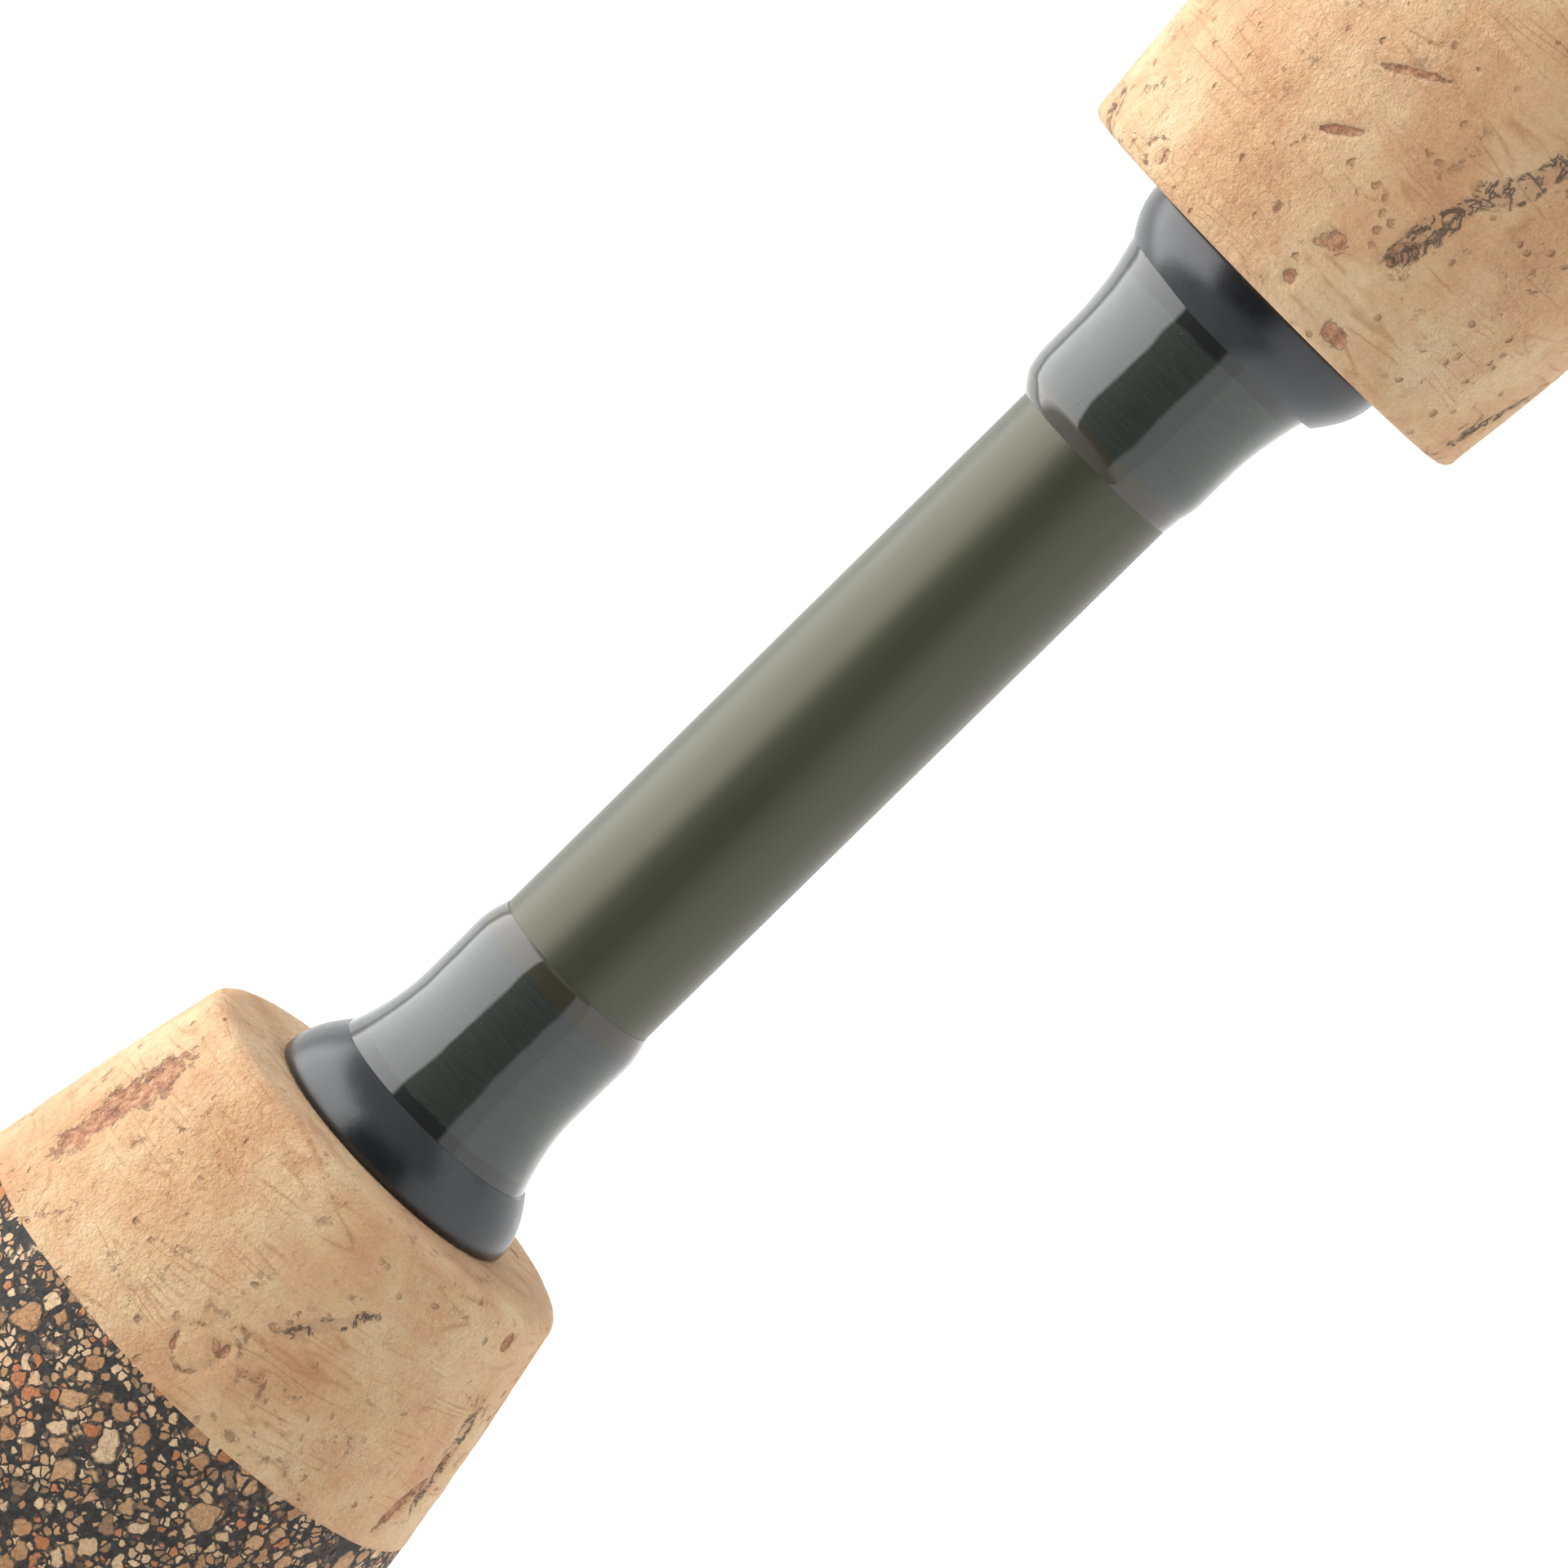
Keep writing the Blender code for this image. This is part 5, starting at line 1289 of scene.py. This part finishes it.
def knob_grip(points, along, turn, radius):
    """A soft three-sided shape that grows from the knob's neck to its end."""
    away = np.clip((along - knob_near - 0.003) / 0.006, 0, 1)
    lobes = -0.0005 * (0.5 - 0.5 * np.cos(3 * turn)) * away
    outside = radius > 0.003
    return lobes * outside, {}


KNOB_BORE = 0.0019
KNOB_NECK_R = 0.0046
RIB_STEPS = (22, 23, 27, 28, 32, 33)  # the steps of the profile that lie in a groove between ribs
knob_r = high("handle_knob")[2] - KNOB_Z
knob = [(knob_far - 0.003, 0), (knob_far - 0.003, KNOB_BORE), (knob_near, KNOB_BORE), (knob_near, 0.0042),
        (knob_near + 0.0005, KNOB_NECK_R)]
for i in range(41):
    share = i / 40
    place = knob_near + 0.0012 + share * (knob_far - knob_near - 0.0027)
    swell = KNOB_NECK_R + (knob_r - KNOB_NECK_R) * math.sin(min(1.0, share / 0.8) * math.pi / 2) ** 1.8
    fall = 0.0009 * max(0.0, (share - 0.8) / 0.2) ** 2
    groove = 0.00035 if i in RIB_STEPS else 0.0
    knob.append((place, swell - fall - groove))
knob += [(knob_far - 0.0007, knob_r - 0.0020), (knob_far, knob_r - 0.0036), (knob_far, 0)]
turned("handle_knob_moulded", knob, RUBBER, "handle_knob", at=(CRANK_X, 0, KNOB_Z),
       toward=-Y_AXIS, sides=96, shape=knob_grip)
keep("anti_reverse_lever", PAINT, 0.0003)


# ---- Reel: rotor, bail, spool and drag knob ----

cup = in_mm([(224.5, 21.2), (225.0, 21.5), (226.4, 21.5), (226.8, 21.2), (227.4, 21.2), (227.8, 21.5),
             (236.0, 21.5), (238.0, 20.5), (238.7, 19.3), (238.7, 14.6), (239.2, 14.0), (250.0, 14.0),
             (250.0, 12.5), (238.9, 12.5), (238.9, 3.9), (235.5, 3.9), (235.5, 19.3), (224.5, 19.3)])
turned("rotor_cup", cup, PAINT, "rotor", at=AXIS_AT, sides=192)
PIVOT_X = 0.258
ARM_START, ARM_HALF = 0.228, 0.0095
arm_taper = [(0.238 + 0.015 * i / 8, ARM_HALF - 0.0042 * (i / 8) ** 1.4) for i in range(9)]
arm_outline = [(ARM_START, SPOOL_AXIS_Z - ARM_HALF)] + [(x, SPOOL_AXIS_Z - half) for x, half in arm_taper]
arm_outline += arc((PIVOT_X, SPOOL_AXIS_Z), 0.0055, -80, 80, 24)
arm_outline += [(x, SPOOL_AXIS_Z + half) for x, half in reversed(arm_taper)]
arm_outline += [(ARM_START, SPOOL_AXIS_Z + ARM_HALF)]
BRIDGE_HALF = 0.0085
bridge = [(0.2285, SPOOL_AXIS_Z - BRIDGE_HALF), (0.2370, SPOOL_AXIS_Z - BRIDGE_HALF),
          (0.2370, SPOOL_AXIS_Z + BRIDGE_HALF), (0.2285, SPOOL_AXIS_Z + BRIDGE_HALF)]
ROTOR_PLATES = (("rotor_arm_", arm_outline, 0.0220, 0.0264, 0.0011),
                ("rotor_bridge_", bridge, 0.0198, 0.0232, 0.0010))  # inner and outer face, edge
for rotor_side, side_name in ((-1, "right"), (1, "left")):
    for plate_name, outline, inner, outer, edge in ROTOR_PLATES:
        near, far = sorted((rotor_side * inner, rotor_side * outer))
        plate(plate_name + side_name, outline, near, far, PAINT, "rotor", edge)
keep("rotor_nut", STEEL, 0.0003)

bail_angle = math.radians(65)
bail_way = Vector((math.cos(bail_angle), 0, math.sin(bail_angle)))
pivot_at = Vector((PIVOT_X, 0, SPOOL_AXIS_Z))
PLATE_Y = 0.0283  # the middle of the bail's end plates, to each side
PLATE_HALF = 0.0015
BAIL_WIRE_R = 0.0009
BAIL_FOOT = 0.008  # how far along the plates the wire's bow starts
BAIL_DEPTH = 0.038


def bail_point(y, along):
    return pivot_at + Y_AXIS * y + bail_way * along


hoop = [bail_point(PLATE_Y, 0.0136)]
for i in range(61):
    turn = math.radians(14 + 152 * i / 60)
    reach = BAIL_FOOT + (BAIL_DEPTH - BAIL_FOOT) * math.sin(turn)
    hoop.append(bail_point(PLATE_Y * math.cos(turn), reach))
hoop += [bail_point(-PLATE_Y, 0.0095), bail_point(-PLATE_Y, 0.0063)]
wire("bail_wire_bent", hoop, BAIL_WIRE_R, "bail_wire", side=bail_way.cross(Y_AXIS), sides=20)


def bail_outline(hub_r, reach, tip_half):
    """A teardrop from a round hub to a narrower tip, turned to where the closed bail stands."""
    across = bail_way.cross(Y_AXIS)
    points = [(hub_r * math.cos(a), hub_r * math.sin(a)) for a in
              (math.radians(62 + 236 * i / 28) for i in range(29))]
    points += [(reach - 0.0006, -tip_half), (reach, -tip_half + 0.0005), (reach, tip_half - 0.0005),
               (reach - 0.0006, tip_half)]
    placed = [pivot_at + bail_way * u - across * v for u, v in points]
    return [(point.x, point.z) for point in placed]


BAIL_ENDS = (("bail_arm", 1, (0.0052, 0.0075, 0.0022)), ("bail_holder", -1, (0.0046, 0.0060, 0.0018)))
for bail_node, bail_side, sizes in BAIL_ENDS:
    inner, outer = bail_side * PLATE_Y - PLATE_HALF, bail_side * PLATE_Y + PLATE_HALF
    plate(bail_node + "_cast", bail_outline(*sizes), inner, outer, ALLOY, bail_node)
post = in_mm([(6, 0), (6, 0.9), (13.1, 0.9), (13.3, 0.7), (13.3, 0)])
turned("bail_arm_post", post, STEEL, "bail_arm", at=bail_point(PLATE_Y, 0), toward=bail_way, sides=32)
ROLLER_START, ROLLER_LENGTH, ROLLER_BORE = 0.0080, 0.0044, 0.0012
ROLLER_WAIST, ROLLER_FLARE = 0.0021, 0.0007
roller = [(ROLLER_START, ROLLER_BORE)]
roller += [(ROLLER_START + ROLLER_LENGTH * i / 24, ROLLER_WAIST + ROLLER_FLARE * abs(i / 12 - 1) ** 3)
           for i in range(25)]
roller += [(ROLLER_START + ROLLER_LENGTH, ROLLER_BORE)]
turned("line_roller_polished", roller, STEEL, "line_roller", at=bail_point(PLATE_Y, 0),
       toward=bail_way, sides=64)
screw_cap = in_mm([(1.3, 0), (1.3, 2.4), (1.6, 2.4), (1.75, 2.1), (1.75, 0.9), (1.55, 0.7), (1.55, 0)])
for bail_node, bail_side, sizes in BAIL_ENDS:
    turned(bail_node + "_screw", screw_cap, STEEL, bail_node, at=pivot_at + Y_AXIS * bail_side * PLATE_Y,
           toward=Y_AXIS * bail_side, sides=48)

SPOOL_START = low("spool")[0]
SPOOL_DIMPLES = 12
DIMPLE_R = 0.0021
DIMPLE_DEPTH = 0.0007
DIMPLE_ROW, SKIRT_END = 0.0062, 0.0095  # along from the skirt's rear edge
SKIRT_INSIDE = 0.0180  # a radius between the skirt's two faces


def spool_dimples(points, along, turn, radius):
    """Round dimples pressed in a row round the skirt."""
    outside = radius > SKIRT_INSIDE
    spacing = 2 * math.pi / SPOOL_DIMPLES
    away = ((turn + spacing / 2) % spacing - spacing / 2) * radius
    reach = np.hypot(along - DIMPLE_ROW, away)
    return -DIMPLE_DEPTH * np.clip((DIMPLE_R - reach) / 0.0003, 0, 1) * outside * (along < SKIRT_END), {}


def spool_profile():
    points = in_mm([(0.3, 18.5), (1.2, 18.5), (1.35, 18.3), (1.75, 18.3), (1.9, 18.5)])
    points += resampled(in_mm([(3.4, 18.5), (9.4, 18.5)]), 0.0002)
    points += in_mm([(10.6, 18.5), (10.8, 18.25), (11.3, 18.25), (11.5, 18.5), (12.3, 18.5), (12.8, 18.9),
                     (13.3, 19.25), (14.0, 19.3), (14.3, 19.1), (15.1, 14.9), (15.5, 14.5)])
    points += in_mm([(17.5, 14.5), (17.7, 14.3), (18.1, 14.3), (18.3, 14.5), (24.5, 14.5), (24.7, 14.3),
                     (25.1, 14.3), (25.3, 14.5), (27.4, 14.5), (27.8, 14.8), (28.5, 19.4), (28.8, 20.2),
                     (29.3, 20.5), (30.2, 20.4), (30.8, 20.0), (31.0, 19.4)])
    points += in_mm([(31.0, 14.0), (30.8, 13.6), (30.8, 12.4), (31.0, 12.0), (30.6, 11.85), (24.0, 11.6),
                     (24.0, 2.3), (12.0, 2.3), (12.0, 16.8), (0.3, 16.8), (0.0, 17.1), (0.0, 18.2)])
    return points


turned("spool_machined", spool_profile(), ALLOY, "spool", at=(SPOOL_START, 0, SPOOL_AXIS_Z),
       sides=288, shape=spool_dimples)

DRAG_RIDGES = 16
RIDGE_DEPTH = 0.0006
RIDGES_START, RIDGES_END = 0.2752, 0.2815


def drag_ridges(points, along, turn, radius):
    ridged = between(along, RIDGES_START, RIDGES_END, 0.0006)
    return -RIDGE_DEPTH * ridged * (radius > 0.009) * np.abs(np.cos(turn * DRAG_RIDGES / 2)) ** 0.8, {}


drag = in_mm([(277.5, 0), (277.5, 2.3), (266.5, 2.3), (266.5, 10.6), (266.8, 10.9), (273.6, 10.95),
              (274.0, 11.0)])
drag += resampled(in_mm([(274.8, 11.0), (281.0, 10.5)]), 0.0003)
drag += in_mm([(282.0, 10.0), (282.5, 9.2), (282.5, 7.4), (282.2, 7.1), (281.9, 6.8), (281.9, 3.0),
               (282.2, 2.6), (282.3, 0)])
turned("drag_knob_moulded", drag, PAINT, "drag_knob", at=AXIS_AT, sides=256, shape=drag_ridges)
shaft_profile = in_mm([(189.4, 0), (189.4, 1.8), (189.6, 2.0), (276.6, 2.0), (277.0, 1.7), (277.0, 0)])
turned("main_shaft_ground", shaft_profile, STEEL, "main_shaft", at=AXIS_AT, sides=48)


# ---- Camera, light and floor ----
CAMERA_LIFT = math.radians(45)  # above the horizon, from the handle's side
CAMERA_LEAD = math.radians(7)  # towards the tip
RISE = math.radians(44.47)  # of the rod's axis across the picture
PICTURE_WIDTH = 0.0669
AIM_DROP = 0.0005  # the rod's axis passes a little above the middle of the picture
LENS = 180.0
SENSOR = 36.0

square_on = Vector((0, -math.cos(CAMERA_LIFT), math.sin(CAMERA_LIFT)))
back = (square_on * math.cos(CAMERA_LEAD) + X_AXIS * math.sin(CAMERA_LEAD)).normalized()
along_picture = (X_AXIS - back * X_AXIS.dot(back)).normalized()
across_picture = back.cross(along_picture)
right = along_picture * math.cos(RISE) - across_picture * math.sin(RISE)
up = along_picture * math.sin(RISE) + across_picture * math.cos(RISE)
aim = Vector((VIEW_X, 0, 0)) - across_picture * AIM_DROP
camera_data = bpy.data.cameras.new("camera")
camera_data.lens = LENS
camera_data.sensor_width = SENSOR
camera_data.clip_start = 0.01
camera_data.clip_end = 20
camera = bpy.data.objects.new("camera", camera_data)
bpy.context.scene.collection.objects.link(camera)
distance = PICTURE_WIDTH * LENS / SENSOR
facing = Matrix((right, up, back)).transposed().to_4x4()
camera.matrix_world = Matrix.Translation(aim + back * distance) @ facing
bpy.context.scene.camera = camera
bpy.context.scene.view_settings.view_transform = "Standard"

floor_z = cad_box[0][2] - 0.002
bpy.ops.mesh.primitive_plane_add(size=60, location=(0.6, 0, floor_z))
floor = bpy.context.object
floor.name = "floor"
floor_shade = Shade("floor_white", "", colour=(0.80, 0.80, 0.80), rough=0.9)
floor.data.materials.append(floor_shade.material)


LIGHT_PEAK = 4.0


def studio_world():
    """A soft studio: a long softbox overhead and behind, a fill in front, a dark gap between them."""
    world = bpy.data.worlds.new("studio")
    bpy.context.scene.world = world
    t = Tree(world)
    t.nodes.clear()
    way = t.node("SeparateXYZ", {"Vector": t.node("TexCoord").outputs["Generated"]})
    x, y, z = (way.outputs[k] for k in "XYZ")
    angle = t.math("ARCTAN2", z, t.times(y, -1.0))
    turn = t.node("MapRange", {"Value": angle, "From Min": -math.pi, "From Max": math.pi}).outputs[0]

    def round_rod(levels):
        """Light by the angle round the rod, from level with it in front over the top to behind."""
        return t.ramp(turn, [((degrees + 180) / 360, level / LIGHT_PEAK) for degrees, level in levels])

    band = round_rod([(-180, 0.9), (20, 1.1), (25, 0.1), (83, 0.1), (87, 3.4), (130, 4.0), (168, 4.0),
                      (174, 0.9)])
    plain = round_rod([(-180, 0.5), (0, 0.42), (90, 0.7), (180, 0.7)])
    inside = t.ramp(t.math("ABSOLUTE", t.plus(x, 0.06)), [(0.56, 1.0), (0.66, 0.0)])
    lit = t.node("Background", {"Color": t.mix(inside, plain, band), "Strength": LIGHT_PEAK})
    seen = t.node("Background", {"Color": (0.96, 0.96, 0.96, 1), "Strength": 1.0})
    direct = t.node("LightPath").outputs["Is Camera Ray"]
    both = t.node("MixShader", {0: direct, 1: lit.outputs[0], 2: seen.outputs[0]})
    t.links.new(both.outputs[0], t.node("OutputWorld").inputs["Surface"])


studio_world()
